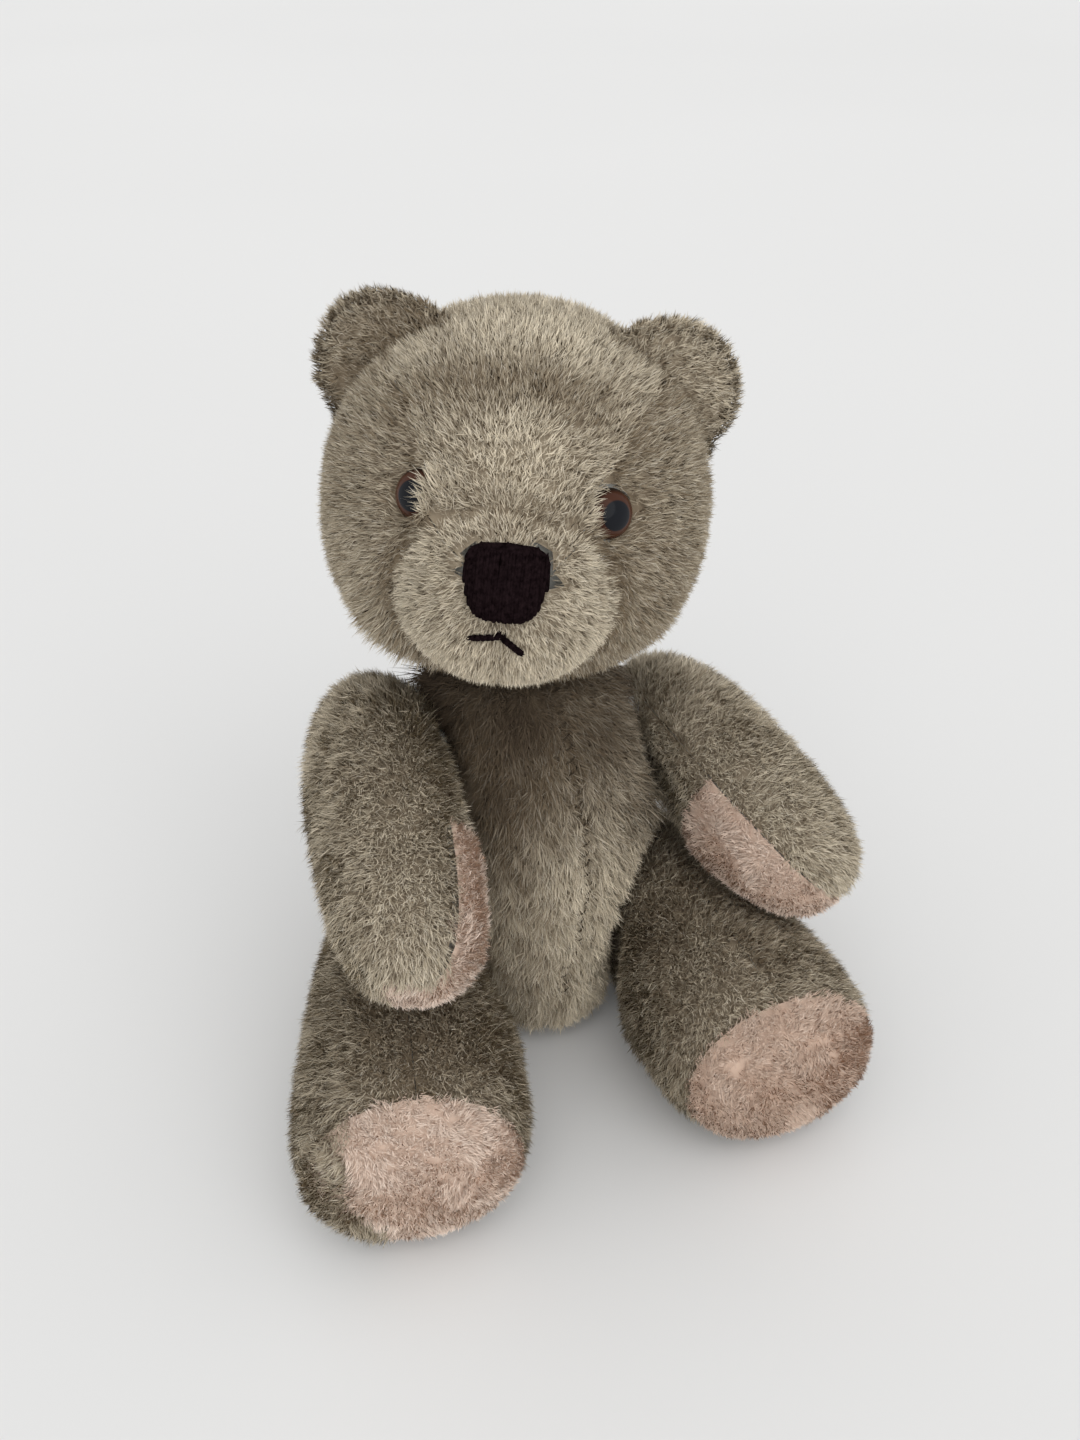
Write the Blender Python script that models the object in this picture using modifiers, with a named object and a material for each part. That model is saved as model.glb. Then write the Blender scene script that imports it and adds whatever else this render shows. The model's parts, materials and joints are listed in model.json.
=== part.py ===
"""A small jointed plush teddy bear with a worn, short pile, sitting on a flat surface.

Units are metres and +Z is up. The bear looks along -Y, its own left is +X, and the point midway
under its box is the origin. Each panel of pile cloth is a shell of its own, cut where the real
cover is sewn. Stuffing fills each cover, and a plastic joint of a disc with a post, a second disc
and a lock washer ties each limb and the head to the torso.
"""

import math

import bmesh
import bpy
from mathutils import Matrix, Vector

MM = 0.001

# Clearances and cloth
GAP = 0.3 * MM  # between faces that touch on the real bear
HALF_GAP = GAP / 2
SKIN = 5.0 * MM  # backing cloth and its pile, as one thickness
JOINT_SKIN = 4.0 * MM  # the same, pressed flat between two discs

# Torso: its sizes, and its outline as shares of them
TORSO_HEIGHT = 118.0 * MM
TORSO_HALF_WIDTH = 38.0 * MM
TORSO_FRONT = 41.0 * MM
TORSO_BACK = 38.0 * MM
TORSO_ROWS = (  # height, half width, front, back
    (0.000, 0.30, 0.62, 0.38),
    (0.035, 0.50, 0.84, 0.60),
    (0.100, 0.72, 0.96, 0.80),
    (0.220, 0.91, 1.00, 0.94),
    (0.400, 0.99, 1.00, 1.00),
    (0.530, 1.00, 0.97, 1.00),
    (0.660, 0.95, 0.90, 0.97),
    (0.780, 0.86, 0.82, 0.91),
    (0.890, 0.75, 0.70, 0.80),
    (0.970, 0.64, 0.58, 0.68),
    (1.000, 0.55, 0.49, 0.57),
)
TORSO_LEAN = 4.0 * MM  # how far the slack middle of the torso leans towards the bear's left
SEAT_TURN = -8.0  # degrees that the belly seam is turned at the seat
CHEST_TURN = 7.0  # and at the chest, as the body sits twisted
SEAM_LEVELS = (-0.05, 0.1, 0.25, 0.4, 0.55, 0.7, 0.85, 1.05)  # heights of its cut, as shares of the torso

# Head, from its own centre
HEAD_HALF_WIDTH = 50.0 * MM
HEAD_HALF_DEPTH = 49.0 * MM
HEAD_HALF_HEIGHT = 49.0 * MM
HEAD_SINK = 2.0 * MM  # how far the round head is pressed flat on the neck
HEAD_TURN = -20.0
HEAD_LEAN = 5.2  # towards the bear's left
MUZZLE_CENTRE = Vector((0.0, -34.0 * MM, -9.5 * MM))
MUZZLE_RADII = Vector((29.0 * MM, 27.0 * MM, 27.0 * MM))
MUZZLE_BLEND = 18  # power of the mean that joins the muzzle and the skull
SOCKET_DEPTH = 4.0 * MM
SOCKET_WIDTH = 0.20  # radians, seen from the head's centre
CHEEK_SIDE = 34.0 * MM
CHEEK_FRONT = 12.0 * MM
CHEEK_DROP = 27.0 * MM
CHEEK_SWELL = 3.5 * MM
CHEEK_WIDTH = 0.50

# Eyes: a dome on a shank, held by a washer inside
EYE_SIDE = 24.5 * MM
EYE_HEIGHT = 14.0 * MM
EYE_RADIUS = 6.0 * MM
EYE_DOME = 4.5 * MM
EYE_SUNK = 1.0 * MM
EYE_CUT_OUT = 18.0 * MM  # how far the eye hole's cutter stands out of the cloth
EYE_SHANK_RADIUS = 2.0 * MM
EYE_SHANK_END = 3.0 * MM  # how far the shank stands past its washer
EYE_WASHER_RADIUS = 6.5 * MM
EYE_WASHER_THICK = 1.5 * MM

# Nose and mouth: satin stitch and thread, from the head's centre
NOSE_HEIGHT = 3.4 * MM
NOSE_HALF_WIDTH = 10.8 * MM
NOSE_HALF_HEIGHT = 8.8 * MM
NOSE_PROUD = 3.5 * MM
NOSE_TOP_SHARE = 1.0  # width of the top edge, as a share of the widest
NOSE_FOOT_SHARE = 0.72
NOSE_RINGS = ((0.45, 0.96), (0.8, 0.75), (1.0, 0.2))  # size and height of its rings, as shares
NOSE_ROOT = 8.8 * MM  # how far its sides reach down into the pile
NOSE_SQUARENESS = 0.6  # 1 is an ellipse, and less is squarer
THREAD_RADIUS = 0.8 * MM
MOUTH_TOP = -5.5 * MM
MOUTH_FORK = -9.0 * MM
MOUTH_LEFT = Vector((6.0 * MM, -13.5 * MM))  # end of the stroke on the bear's left: side, height
MOUTH_RIGHT = Vector((-8.5 * MM, -10.5 * MM))

# Gusset: the strip from the nose over the head, as angle up from the nose and half width
GUSSET_ROWS = (
    (6.0, 10.5 * MM),
    (22.0, 20.0 * MM),
    (42.0, 25.0 * MM),
    (70.0, 33.0 * MM),
    (100.0, 35.0 * MM),
    (135.0, 27.0 * MM),
    (170.0, 18.0 * MM),
    (205.0, 12.0 * MM),
)
GUSSET_INSIDE = 29.0 * MM  # where the cut starts, from the head's centre
GUSSET_OUTSIDE = 66.0 * MM
GUSSET_STEP = 15.0  # degrees

# Ears
EAR_RADIUS = 23.0 * MM
EAR_HALF_THICK = 6.5 * MM
EAR_CUP = 5.5 * MM
EAR_RIM_THICK = 1.3 * MM  # of each cloth, where the ear is sewn
EAR_OUTER_RINGS = (0.4, 0.72, 0.92)  # shares of the radius
EAR_INNER_RINGS = (0.97, 0.5)
EAR_PLACE = Vector((32.5 * MM, 0.5 * MM, 26.5 * MM))
EAR_OUT = 41.0  # degrees from upright
EAR_FACE = 18.0  # degrees that the ear is turned outward

# Arms, from the middle of the shoulder joint
SHOULDER_LEFT_SIDE = 29.0 * MM  # from the torso's middle
SHOULDER_LEFT_DROP = 38.0 * MM  # below the neck
SHOULDER_RIGHT_SIDE = 27.5 * MM
SHOULDER_RIGHT_DROP = 23.5 * MM
SHOULDER_TILT = 9.0  # degrees that the joint's axis points up
ARM_SPLAYS = {1: 4.0, -1: 9.0}
ARM_BEHIND = 22.0 * MM
ARM_REACH = 80.0 * MM
ARM_HALF_HEIGHT = 21.5 * MM
PAW_HALF_HEIGHT = 18.5 * MM
ARM_HALF_THICK = 23.0 * MM
PAW_HALF_THICK = 21.5 * MM
ARM_MIDDLE = 17.5 * MM  # from the joint's plane to the middle of the arm
PAW_MIDDLE = 18.0 * MM
ARM_SWELL = 5.0 * MM  # past the joint's plane, in front of the chest
ARM_DROOPS = {1: 12.0, -1: 18.5}  # degrees below level
ARM_CLEAR = 29.5 * MM  # how far in front of the joint the arm starts to swell over the chest
PAW_POWER = 3.0  # how blunt the tip is: 2 is round
PALM_TURN = 38.0  # degrees that the palm faces down
PAW_PAD_LENGTH = 42.0 * MM  # from the tip of the paw

# Legs, from the middle of the hip joint
HIP_SIDE = 18.0 * MM
HIP_STEP = 4.0 * MM  # how far the right hip is in front of the torso's middle, and the left behind
HIP_TURN = -3.3
LEG_SPLAY = 6.0
LEG_BEHIND = 27.0 * MM
LEG_REACH = 102.0 * MM
LEG_HALF_HEIGHT = 28.5 * MM
FOOT_HALF_HEIGHT = 30.0 * MM
LEG_HALF_THICK = 25.0 * MM
FOOT_HALF_THICK = 35.5 * MM
LEG_MIDDLE = 19.0 * MM
FOOT_MIDDLE = 24.0 * MM
LEG_SWELL = 8.0 * MM
LEG_CLEAR = 37.7 * MM
FOOT_POWER = 4.0
LEG_REST_FLAT = 1.0 * MM  # how far the soft leg is pressed flat where it rests
SOLE_DEPTH = 10.0 * MM  # how far the sole reaches up the foot from its tip
BELLY_OVERHANG = 1.3  # how steeply the belly swells over the thighs

LIMB_EASE = 16.0 * MM  # length over which a limb swells out
JOINT_END_POWER = 2.2

# Joints: a disc with a post in the limb, a disc and a lock washer in the torso
ARM_DISC_RADIUS = 11.0 * MM
LEG_DISC_RADIUS = 15.0 * MM
NECK_DISC_RADIUS = 15.0 * MM
DISC_THICK = 2.5 * MM
POST_RADIUS = 3.0 * MM
POST_END = 2.0 * MM  # how far the post stands past the lock washer
LOCK_RADIUS = 6.5 * MM
LOCK_THICK = 1.6 * MM

# Facets: sides and rings of each form, and of its plainer inner wall
TORSO_SIDES = 18
HEAD_SIDES = 18
HEAD_RINGS = 12
ARM_SIDES = 16
LEG_SIDES = 16
EAR_SIDES = 12
NOSE_SIDES = 16
DOME_STEPS = 3
THREAD_STEPS = 3  # in each straight stroke
LIMB_RINGS = 12
INNER_SIDES = 10
INNER_RINGS = 7
TURNED_STEPS = 10
THREAD_SIDES = 5
ODD_TURN = 0.37  # turns a cutter's facets a little, so that none lies in a seam's plane

FAR = 3  # a block that keeps one side reaches this many times the size of the form
HALVINGS = 40  # steps of a search by halves
AXIS_WELD = 0.01 * MM

PILE = (0.42, 0.37, 0.29, 1.0)
PAD_PINK = (0.60, 0.43, 0.38, 1.0)
NOSE_BROWN = (0.045, 0.025, 0.022, 1.0)
EYE_BROWN = (0.06, 0.025, 0.012, 1.0)
FILLING_WHITE = (0.80, 0.79, 0.74, 1.0)
JOINT_WHITE = (0.72, 0.72, 0.70, 1.0)

THIGH_HEIGHT = LEG_HALF_HEIGHT - LEG_REST_FLAT
THIGH_TOP = THIGH_HEIGHT + LEG_HALF_HEIGHT
HEAD_CENTRE_HEIGHT = TORSO_HEIGHT + HEAD_HALF_HEIGHT - HEAD_SINK
SHOULDERS = {
    1: (SHOULDER_LEFT_SIDE, TORSO_HEIGHT - SHOULDER_LEFT_DROP),
    -1: (SHOULDER_RIGHT_SIDE, TORSO_HEIGHT - SHOULDER_RIGHT_DROP),
}
SIDES = {"left": 1, "right": -1}


# Scene and materials


def clear_scene():
    """Remove what the start-up scene holds."""
    for thing in list(bpy.data.objects):
        bpy.data.objects.remove(thing, do_unlink=True)


def new_collection(name):
    """Add a collection to the scene."""
    collection = bpy.data.collections.new(name)
    bpy.context.scene.collection.children.link(collection)
    return collection


def new_material(name, colour, roughness):
    """A plain Principled material."""
    material = bpy.data.materials.new(name)
    material.use_nodes = True
    shader = material.node_tree.nodes["Principled BSDF"]
    shader.inputs["Base Color"].default_value = colour
    shader.inputs["Roughness"].default_value = roughness
    return material


clear_scene()
BEAR = new_collection("teddy_bear")
CUTTERS = new_collection("cutters")
PILE_CLOTH = new_material("pile_cloth", PILE, 0.95)
PAD_CLOTH = new_material("pad_cloth", PAD_PINK, 0.95)
NOSE_THREAD = new_material("nose_thread", NOSE_BROWN, 0.6)
EYE_PLASTIC = new_material("eye_plastic", EYE_BROWN, 0.12)
FILLING = new_material("filling", FILLING_WHITE, 1.0)
JOINT_PLASTIC = new_material("joint_plastic", JOINT_WHITE, 0.45)


# Objects


def add_empty(name, matrix, parent=None):
    """A frame that pieces are placed in."""
    empty = bpy.data.objects.new(name, None)
    BEAR.objects.link(empty)
    empty.parent = parent
    empty.matrix_local = matrix
    return empty


def add_part(name, mesh, parent, material, matrix=None):
    """One named piece of the bear."""
    mesh.name = name
    mesh.materials.clear()
    mesh.materials.append(material)
    mesh.shade_smooth()
    mesh.set_sharp_from_angle(angle=math.radians(50))
    part = bpy.data.objects.new(name, mesh)
    BEAR.objects.link(part)
    part.parent = parent
    part.matrix_local = matrix or Matrix()
    return part


def add_cutter(name, mesh, parent, matrix=None):
    """A helper that is left out of the model."""
    cutter = bpy.data.objects.new(name, mesh)
    CUTTERS.objects.link(cutter)
    cutter.parent = parent
    cutter.matrix_local = matrix or Matrix()
    cutter.hide_render = True
    cutter.display_type = "WIRE"
    return cutter


def combine(thing, other, operation):
    """Cut, keep or join with another closed form."""
    boolean = thing.modifiers.new(operation.lower(), "BOOLEAN")
    boolean.operation = operation
    boolean.solver = "EXACT"
    boolean.object = other
    return thing


def cut(thing, *others):
    """Take other forms away."""
    for other in others:
        combine(thing, other, "DIFFERENCE")
    return thing


def keep(thing, *others):
    """Keep only what lies in each other form."""
    for other in others:
        combine(thing, other, "INTERSECT")
    return thing


# Meshes


def loft(name, rings, first, last):
    """A closed form through rings of points, ended at two tips."""
    form = bmesh.new()
    rows = [[form.verts.new(point) for point in ring] for ring in rings]
    for row, following in zip(rows, rows[1:]):
        for i in range(len(row)):
            j = (i + 1) % len(row)
            form.faces.new((row[i], row[j], following[j]))
            form.faces.new((row[i], following[j], following[i]))
    for row, tip in ((rows[0], form.verts.new(first)), (rows[-1], form.verts.new(last))):
        for i in range(len(row)):
            form.faces.new((row[i], row[(i + 1) % len(row)], tip))
    return closed_mesh(name, form)


def closed_mesh(name, form):
    """The finished mesh, with its faces turned outward."""
    bmesh.ops.recalc_face_normals(form, faces=form.faces)
    mesh = bpy.data.meshes.new(name)
    form.to_mesh(mesh)
    form.free()
    return mesh


def box_mesh(name, low, high):
    """A box between two corners."""
    form = bmesh.new()
    bmesh.ops.create_cube(form, size=1.0)
    low, high = Vector(low), Vector(high)
    bmesh.ops.scale(form, vec=high - low, verts=form.verts)
    bmesh.ops.translate(form, vec=(low + high) / 2, verts=form.verts)
    return closed_mesh(name, form)


def stepped_mesh(name, steps):
    """A round bar along X whose radius changes in steps, each given as radius and place."""
    rings = []
    for radius, place in steps:
        ring = []
        for i in range(TURNED_STEPS):
            angle = 2 * math.pi * (i + ODD_TURN) / TURNED_STEPS
            ring.append(Vector((place, radius * math.cos(angle), radius * math.sin(angle))))
        rings.append(ring)
    return loft(name, rings, Vector((steps[0][1], 0, 0)), Vector((steps[-1][1], 0, 0)))


def roomy(radius):
    """The radius of a faceted hole whose flats clear a round piece of some radius."""
    return (radius + GAP) / math.cos(math.pi / TURNED_STEPS)


def turned_mesh(name, profile):
    """A profile of radius and height points, as edges for a Screw."""
    form = bmesh.new()
    points = [form.verts.new((radius, 0, height)) for radius, height in profile]
    for point, following in zip(points, points[1:]):
        form.edges.new((point, following))
    if profile[0][0] > 0:
        form.edges.new((points[-1], points[0]))
    mesh = bpy.data.meshes.new(name)
    form.to_mesh(mesh)
    form.free()
    return mesh


def add_turned(name, profile, parent, material, matrix):
    """A piece turned about its own Z axis."""
    part = add_part(name, turned_mesh(name, profile), parent, material, matrix)
    screw = part.modifiers.new("turn", "SCREW")
    screw.axis = "Z"
    screw.steps = screw.render_steps = TURNED_STEPS
    screw.use_merge_vertices = True
    screw.merge_threshold = AXIS_WELD
    return part


def mirrored(mesh):
    """A copy of a mesh seen in a mirror across X = 0."""
    copy = mesh.copy()
    copy.transform(Matrix.Scale(-1, 4, (1, 0, 0)))
    copy.flip_normals()
    return copy


def for_side(mesh, side):
    """The mesh for one side of the bear, from the one made for its left."""
    return mesh if side > 0 else mirrored(mesh)


def baked(thing):
    """The piece's shape with its modifiers applied, in its own space."""
    bpy.context.view_layer.update()
    graph = bpy.context.evaluated_depsgraph_get()
    return bpy.data.meshes.new_from_object(thing.evaluated_get(graph))


# Joint frames: X lies along the joint's axis, towards the bear's left


def torso_lean(height):
    """How far the torso's middle is towards the bear's left at a height."""
    return TORSO_LEAN * math.sin(math.pi * min(1.0, max(0.0, height / TORSO_HEIGHT)))


def shoulder_frame(side):
    """The shoulder joint's frame in the bear's own space."""
    distance, height = SHOULDERS[side]
    return (
        Matrix.Translation((torso_lean(height), 0, 0))
        @ Matrix.Rotation(math.radians(CHEST_TURN), 4, "Z")
        @ Matrix.Translation((side * distance, 0, height))
        @ Matrix.Rotation(side * math.radians(ARM_SPLAYS[side]), 4, "Z")
        @ Matrix.Rotation(-side * math.radians(SHOULDER_TILT), 4, "Y")
    )


def hip_frame(side):
    """The hip joint's frame in the bear's own space."""
    return (
        Matrix.Rotation(math.radians(HIP_TURN), 4, "Z")
        @ Matrix.Translation((side * HIP_SIDE, side * HIP_STEP, THIGH_HEIGHT))
        @ Matrix.Rotation(side * math.radians(LEG_SPLAY), 4, "Z")
    )


def outward(side):
    """Turns a piece made along its own Z so that it points out of the torso along a joint's axis."""
    return Matrix.Rotation(side * math.pi / 2, 4, "Y")


# Torso


def pressed_by_limbs(point, inset):
    """A point of the torso, moved in where a limb lies flat against it."""
    for side in SIDES.values():
        for frame, rise in (
            (shoulder_frame(side), 0.0),
            (hip_frame(side), BELLY_OVERHANG * max(0.0, point.z - THIGH_TOP - GAP)),
        ):
            reach = side * (frame.inverted() @ point).x
            most = rise - HALF_GAP - inset
            if reach > most:
                point = point - side * (reach - most) * frame.col[0].xyz
    return point


def torso_mesh(name, sides, step=1, inset=0.0):
    """The torso's form, or its inner wall at some inset, through every row or every second one."""
    rows = [TORSO_ROWS[0], *TORSO_ROWS[1:-1:step], TORSO_ROWS[-1]]
    tall = TORSO_HEIGHT - 2 * inset
    rings = []
    for height, width, front, back in rows:
        ring = []
        for i in range(sides):
            angle = 2 * math.pi * (i + ODD_TURN) / sides
            depth = TORSO_FRONT * front if math.sin(angle) < 0 else TORSO_BACK * back
            x = (TORSO_HALF_WIDTH * width - inset) * math.cos(angle)
            z = inset + tall * height
            point = Vector((x + torso_lean(z), (depth - inset) * math.sin(angle), z))
            ring.append(pressed_by_limbs(point, inset))
        rings.append(ring)
    return loft(name, rings, Vector((0, 0, inset)), Vector((0, 0, inset + tall)))


def eased(share):
    """A share from 0 to 1 that starts and ends gently."""
    return share * share * (3 - 2 * share)


def seam_turn(height):
    """How far the belly seam is turned at a height."""
    share = min(1.0, max(0.0, height / SHOULDERS[1][1]))
    return math.radians(SEAT_TURN + (CHEST_TURN - SEAT_TURN) * eased(share))


def torso_half_cutter(side, root):
    """A block on one side of the twisted belly and back seam."""
    wide = 2 * TORSO_HALF_WIDTH
    levels = [TORSO_HEIGHT * share for share in SEAM_LEVELS]
    rings = []
    for level in levels:
        turn = Matrix.Translation((torso_lean(level), 0, 0)) @ Matrix.Rotation(seam_turn(level), 4, "Z")
        corners = ((HALF_GAP, -wide), (wide, -wide), (wide, wide), (HALF_GAP, wide))
        rings.append([turn @ Vector((side * x, y, level)) for x, y in corners])
    first, last = ((r[0] + r[2]) / 2 for r in (rings[0], rings[-1]))
    return add_cutter(f"half_{side}", loft("half", rings, first, last), root)


def build_torso(root, holes):
    """The two halves of the cover and the stuffing, with pockets for each joint's hardware."""
    inside = add_cutter("torso_inside", torso_mesh("inside", INNER_SIDES, 2, SKIN), root)
    for name, side in SIDES.items():
        half = add_part(f"torso_{name}", torso_mesh("torso", TORSO_SIDES), root, PILE_CLOTH)
        keep(half, torso_half_cutter(side, root))
        cut(half, inside, *holes)
    mesh = torso_mesh("filling", INNER_SIDES, 2, SKIN + GAP)
    cut(add_part("torso_stuffing", mesh, root, FILLING), *holes)


# Head


def skull_radius(way):
    """How far the round of the skull reaches along a unit direction."""
    radii = (HEAD_HALF_WIDTH, HEAD_HALF_DEPTH, HEAD_HALF_HEIGHT)
    return 1 / math.sqrt(sum((part / radius) ** 2 for part, radius in zip(way, radii)))


def muzzle_radius(way):
    """How far the muzzle reaches along a unit direction, or 0 where it isn't met."""
    scaled = Vector(part / radius for part, radius in zip(way, MUZZLE_RADII))
    centre = Vector(part / radius for part, radius in zip(MUZZLE_CENTRE, MUZZLE_RADII))
    a, b, c = scaled.dot(scaled), scaled.dot(centre), centre.dot(centre) - 1
    under = b * b - a * c
    return max(0.0, (b + math.sqrt(under)) / a) if under > 0 else 0.0


def bare_head_radius(way):
    """The skull and muzzle joined, without the eye sockets."""
    radii = (skull_radius(way), muzzle_radius(way))
    return sum(radius**MUZZLE_BLEND for radius in radii) ** (1 / MUZZLE_BLEND)


def front_of_head(side, height):
    """The point of the bare head's front at a place to the side and a height."""
    near, far = 0.0, HEAD_HALF_DEPTH + 2 * MUZZLE_RADII.y
    for _ in range(HALVINGS):
        middle = (near + far) / 2
        point = Vector((side, -middle, height))
        if point.length < bare_head_radius(point.normalized()):
            near = middle
        else:
            far = middle
    return Vector((side, -near, height))


CHEEK_POINTS = [Vector((side * CHEEK_SIDE, -CHEEK_FRONT, -CHEEK_DROP)) for side in SIDES.values()]
EYE_POINTS = {side: front_of_head(side * EYE_SIDE, EYE_HEIGHT) for side in SIDES.values()}


def head_radius(way):
    """How far the pile's surface is from the head's centre along a unit direction."""
    reach = bare_head_radius(way)
    for eye in EYE_POINTS.values():
        reach -= SOCKET_DEPTH * math.exp(-((way.angle(eye) / SOCKET_WIDTH) ** 2))
    for cheek in CHEEK_POINTS:
        reach += CHEEK_SWELL * math.exp(-((way.angle(cheek) / CHEEK_WIDTH) ** 2))
    return reach


def head_frame():
    """The head's own frame, from the neck joint: its lean, and its height above the joint."""
    up = Matrix.Translation((0, 0, HEAD_CENTRE_HEIGHT - TORSO_HEIGHT))
    return up @ Matrix.Rotation(math.radians(HEAD_LEAN), 4, "Y")


def head_mesh(name, sides, rings_count, inset=0.0):
    """The head's form, or its inner wall at some inset, in rings from the nose to the back."""
    rings = []
    for k in range(1, rings_count):
        polar = math.pi * k / rings_count
        ring = []
        for i in range(sides):
            angle = 2 * math.pi * (i + ODD_TURN) / sides
            way = Vector(
                (math.sin(polar) * math.cos(angle), -math.cos(polar), math.sin(polar) * math.sin(angle))
            )
            ring.append(way * (head_radius(way) - inset))
        rings.append(ring)
    tips = [way * (head_radius(way) - inset) for way in (Vector((0, -1, 0)), Vector((0, 1, 0)))]
    return loft(name, rings, *tips)


def neck_block(name, head, top):
    """A block under the head, where it is pressed flat on the torso."""
    wide = 2 * HEAD_HALF_WIDTH
    mesh = box_mesh(name, (-wide, -wide, -wide), (wide, wide, top))
    return add_cutter(name, mesh, head, head_frame().inverted())


def gusset_width(angle):
    """The gusset's half width at an angle up and over from the nose."""
    for (near, width), (far, other) in zip(GUSSET_ROWS, GUSSET_ROWS[1:]):
        if angle <= far:
            share = max(0.0, (angle - near) / (far - near))
            return width + (other - width) * eased(share)
    return GUSSET_ROWS[-1][1]


def gusset_cutter(name, head, spare):
    """A fan over the head, wider by some spare on each side."""
    rings = []
    start, end = GUSSET_ROWS[0][0], GUSSET_ROWS[-1][0]
    count = round((end - start) / GUSSET_STEP)
    for k in range(count + 1):
        angle = start + (end - start) * k / count
        over = {0: -spare, count: spare}.get(k, 0.0) / HEAD_HALF_DEPTH
        turn = math.radians(angle) + over
        way = Vector((0, -math.cos(turn), math.sin(turn)))
        half = Vector((gusset_width(angle) + spare, 0, 0))
        near, far = way * GUSSET_INSIDE, way * GUSSET_OUTSIDE
        rings.append([near - half, near + half, far + half, far - half])
    tips = ((r[0] + r[2]) / 2 for r in (rings[0], rings[-1]))
    return add_cutter(name, loft(name, rings, *tips), head)


def facing(point, way):
    """A frame at a point whose X axis points inward, against a direction."""
    inward = (-way).normalized()
    return Matrix.Translation(point) @ inward.to_track_quat("X", "Z").to_matrix().to_4x4()


def eye_seat(side):
    """The frame of an eye: its origin on the flat that the dome's back rests on, X pointing inward."""
    way = EYE_POINTS[side].normalized()
    depth = head_radius(way) - EYE_SUNK
    return facing(way * depth, way)


def build_eye(name, side, head):
    """The eye, its washer, and the cutters that seat them."""
    seat = eye_seat(side)
    back = -EYE_DOME
    washer_near = SKIN - EYE_SUNK + GAP
    shank = washer_near + EYE_WASHER_THICK + EYE_SHANK_END
    turned = seat @ Matrix.Rotation(math.pi / 2, 4, "Y")
    profile = [(0.0, -GAP + back)]
    for k in range(1, DOME_STEPS + 1):
        angle = math.pi / 2 * k / DOME_STEPS
        profile.append((EYE_RADIUS * math.sin(angle), -GAP + back * math.cos(angle)))
    profile += [(EYE_SHANK_RADIUS, -GAP), (EYE_SHANK_RADIUS, shank), (0.0, shank)]
    add_turned(f"eye_{name}", profile[::-1], head, EYE_PLASTIC, turned)
    far = washer_near + EYE_WASHER_THICK
    washer = ring_profile(EYE_SHANK_RADIUS + GAP, EYE_WASHER_RADIUS, far, washer_near)
    add_turned(f"eye_{name}_washer", washer, head, JOINT_PLASTIC, turned)
    face, hole, pocket = roomy(EYE_RADIUS), roomy(EYE_SHANK_RADIUS), roomy(EYE_WASHER_RADIUS)
    floor = SKIN - EYE_SUNK
    steps = [(face, -EYE_CUT_OUT), (face, 0.0), (hole, 0.0), (hole, floor)]
    steps += [(pocket, floor), (pocket, far + GAP), (hole, far + GAP), (hole, shank + GAP)]
    return add_cutter(f"eye_hole_{name}", stepped_mesh("eye_hole", steps), head, seat)


def build_head(head, neck_hole):
    """Three panels, stuffing, ears, eyes, nose and mouth."""
    mesh = head_mesh("inside", INNER_SIDES, INNER_RINGS, SKIN)
    inside = add_cutter("head_inside", mesh, head)
    cut(inside, neck_block("neck_inside", head, JOINT_SKIN + HALF_GAP))
    under = neck_block("neck_under", head, HALF_GAP)
    around = add_cutter("head_around", head_mesh("around", HEAD_SIDES, HEAD_RINGS, -GAP), head)
    eyes = {name: build_eye(name, side, head) for name, side in SIDES.items()}
    strip, wider = gusset_cutter("strip", head, 0.0), gusset_cutter("strip_gap", head, GAP)
    for name, side in SIDES.items():
        panel = add_part(f"head_side_{name}", head_mesh("head", HEAD_SIDES, HEAD_RINGS), head, PILE_CLOTH)
        reach = FAR * HEAD_HALF_WIDTH
        low = (min(side * HALF_GAP, side * reach), -reach, -reach)
        high = (max(side * HALF_GAP, side * reach), reach, reach)
        keep(panel, add_cutter(f"head_half_{name}", box_mesh("half", low, high), head))
        cut(panel, under, wider, inside, eyes[name], neck_hole)
    gusset = add_part("head_gusset", head_mesh("head", HEAD_SIDES, HEAD_RINGS), head, PILE_CLOTH)
    keep(gusset, strip)
    cut(gusset, under, inside, *eyes.values())
    mesh = head_mesh("filling", INNER_SIDES, INNER_RINGS, SKIN + GAP)
    filling = add_part("head_stuffing", mesh, head, FILLING)
    above = neck_block("neck_filling", head, JOINT_SKIN + HALF_GAP + GAP)
    cut(filling, above, *eyes.values(), neck_hole)
    for name, side in SIDES.items():
        build_ear(name, side, head, around)
    build_nose(head, around)
    build_mouth(head)


def ear_side_mesh(face):
    """One of the two cloths of an ear: face is -1 for the front and 1 for the back."""
    rings = []

    def ring(share, offset):
        return [
            Vector(
                (
                    EAR_RADIUS * share * math.cos(2 * math.pi * i / EAR_SIDES),
                    EAR_CUP * (1 - share * share) + face * offset,
                    EAR_RADIUS * share * math.sin(2 * math.pi * i / EAR_SIDES),
                )
            )
            for i in range(EAR_SIDES)
        ]

    def bulge(share):
        return EAR_HALF_THICK * (1 - share**3) ** 0.5

    for share in EAR_OUTER_RINGS:
        rings.append(ring(share, bulge(share)))
    rings.append(ring(1.0, HALF_GAP + EAR_RIM_THICK))
    for share in EAR_INNER_RINGS:
        rings.append(ring(share, HALF_GAP))
    first = Vector((0, EAR_CUP + face * EAR_HALF_THICK, 0))
    return loft("ear", rings, first, Vector((0, EAR_CUP + face * HALF_GAP, 0)))


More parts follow.
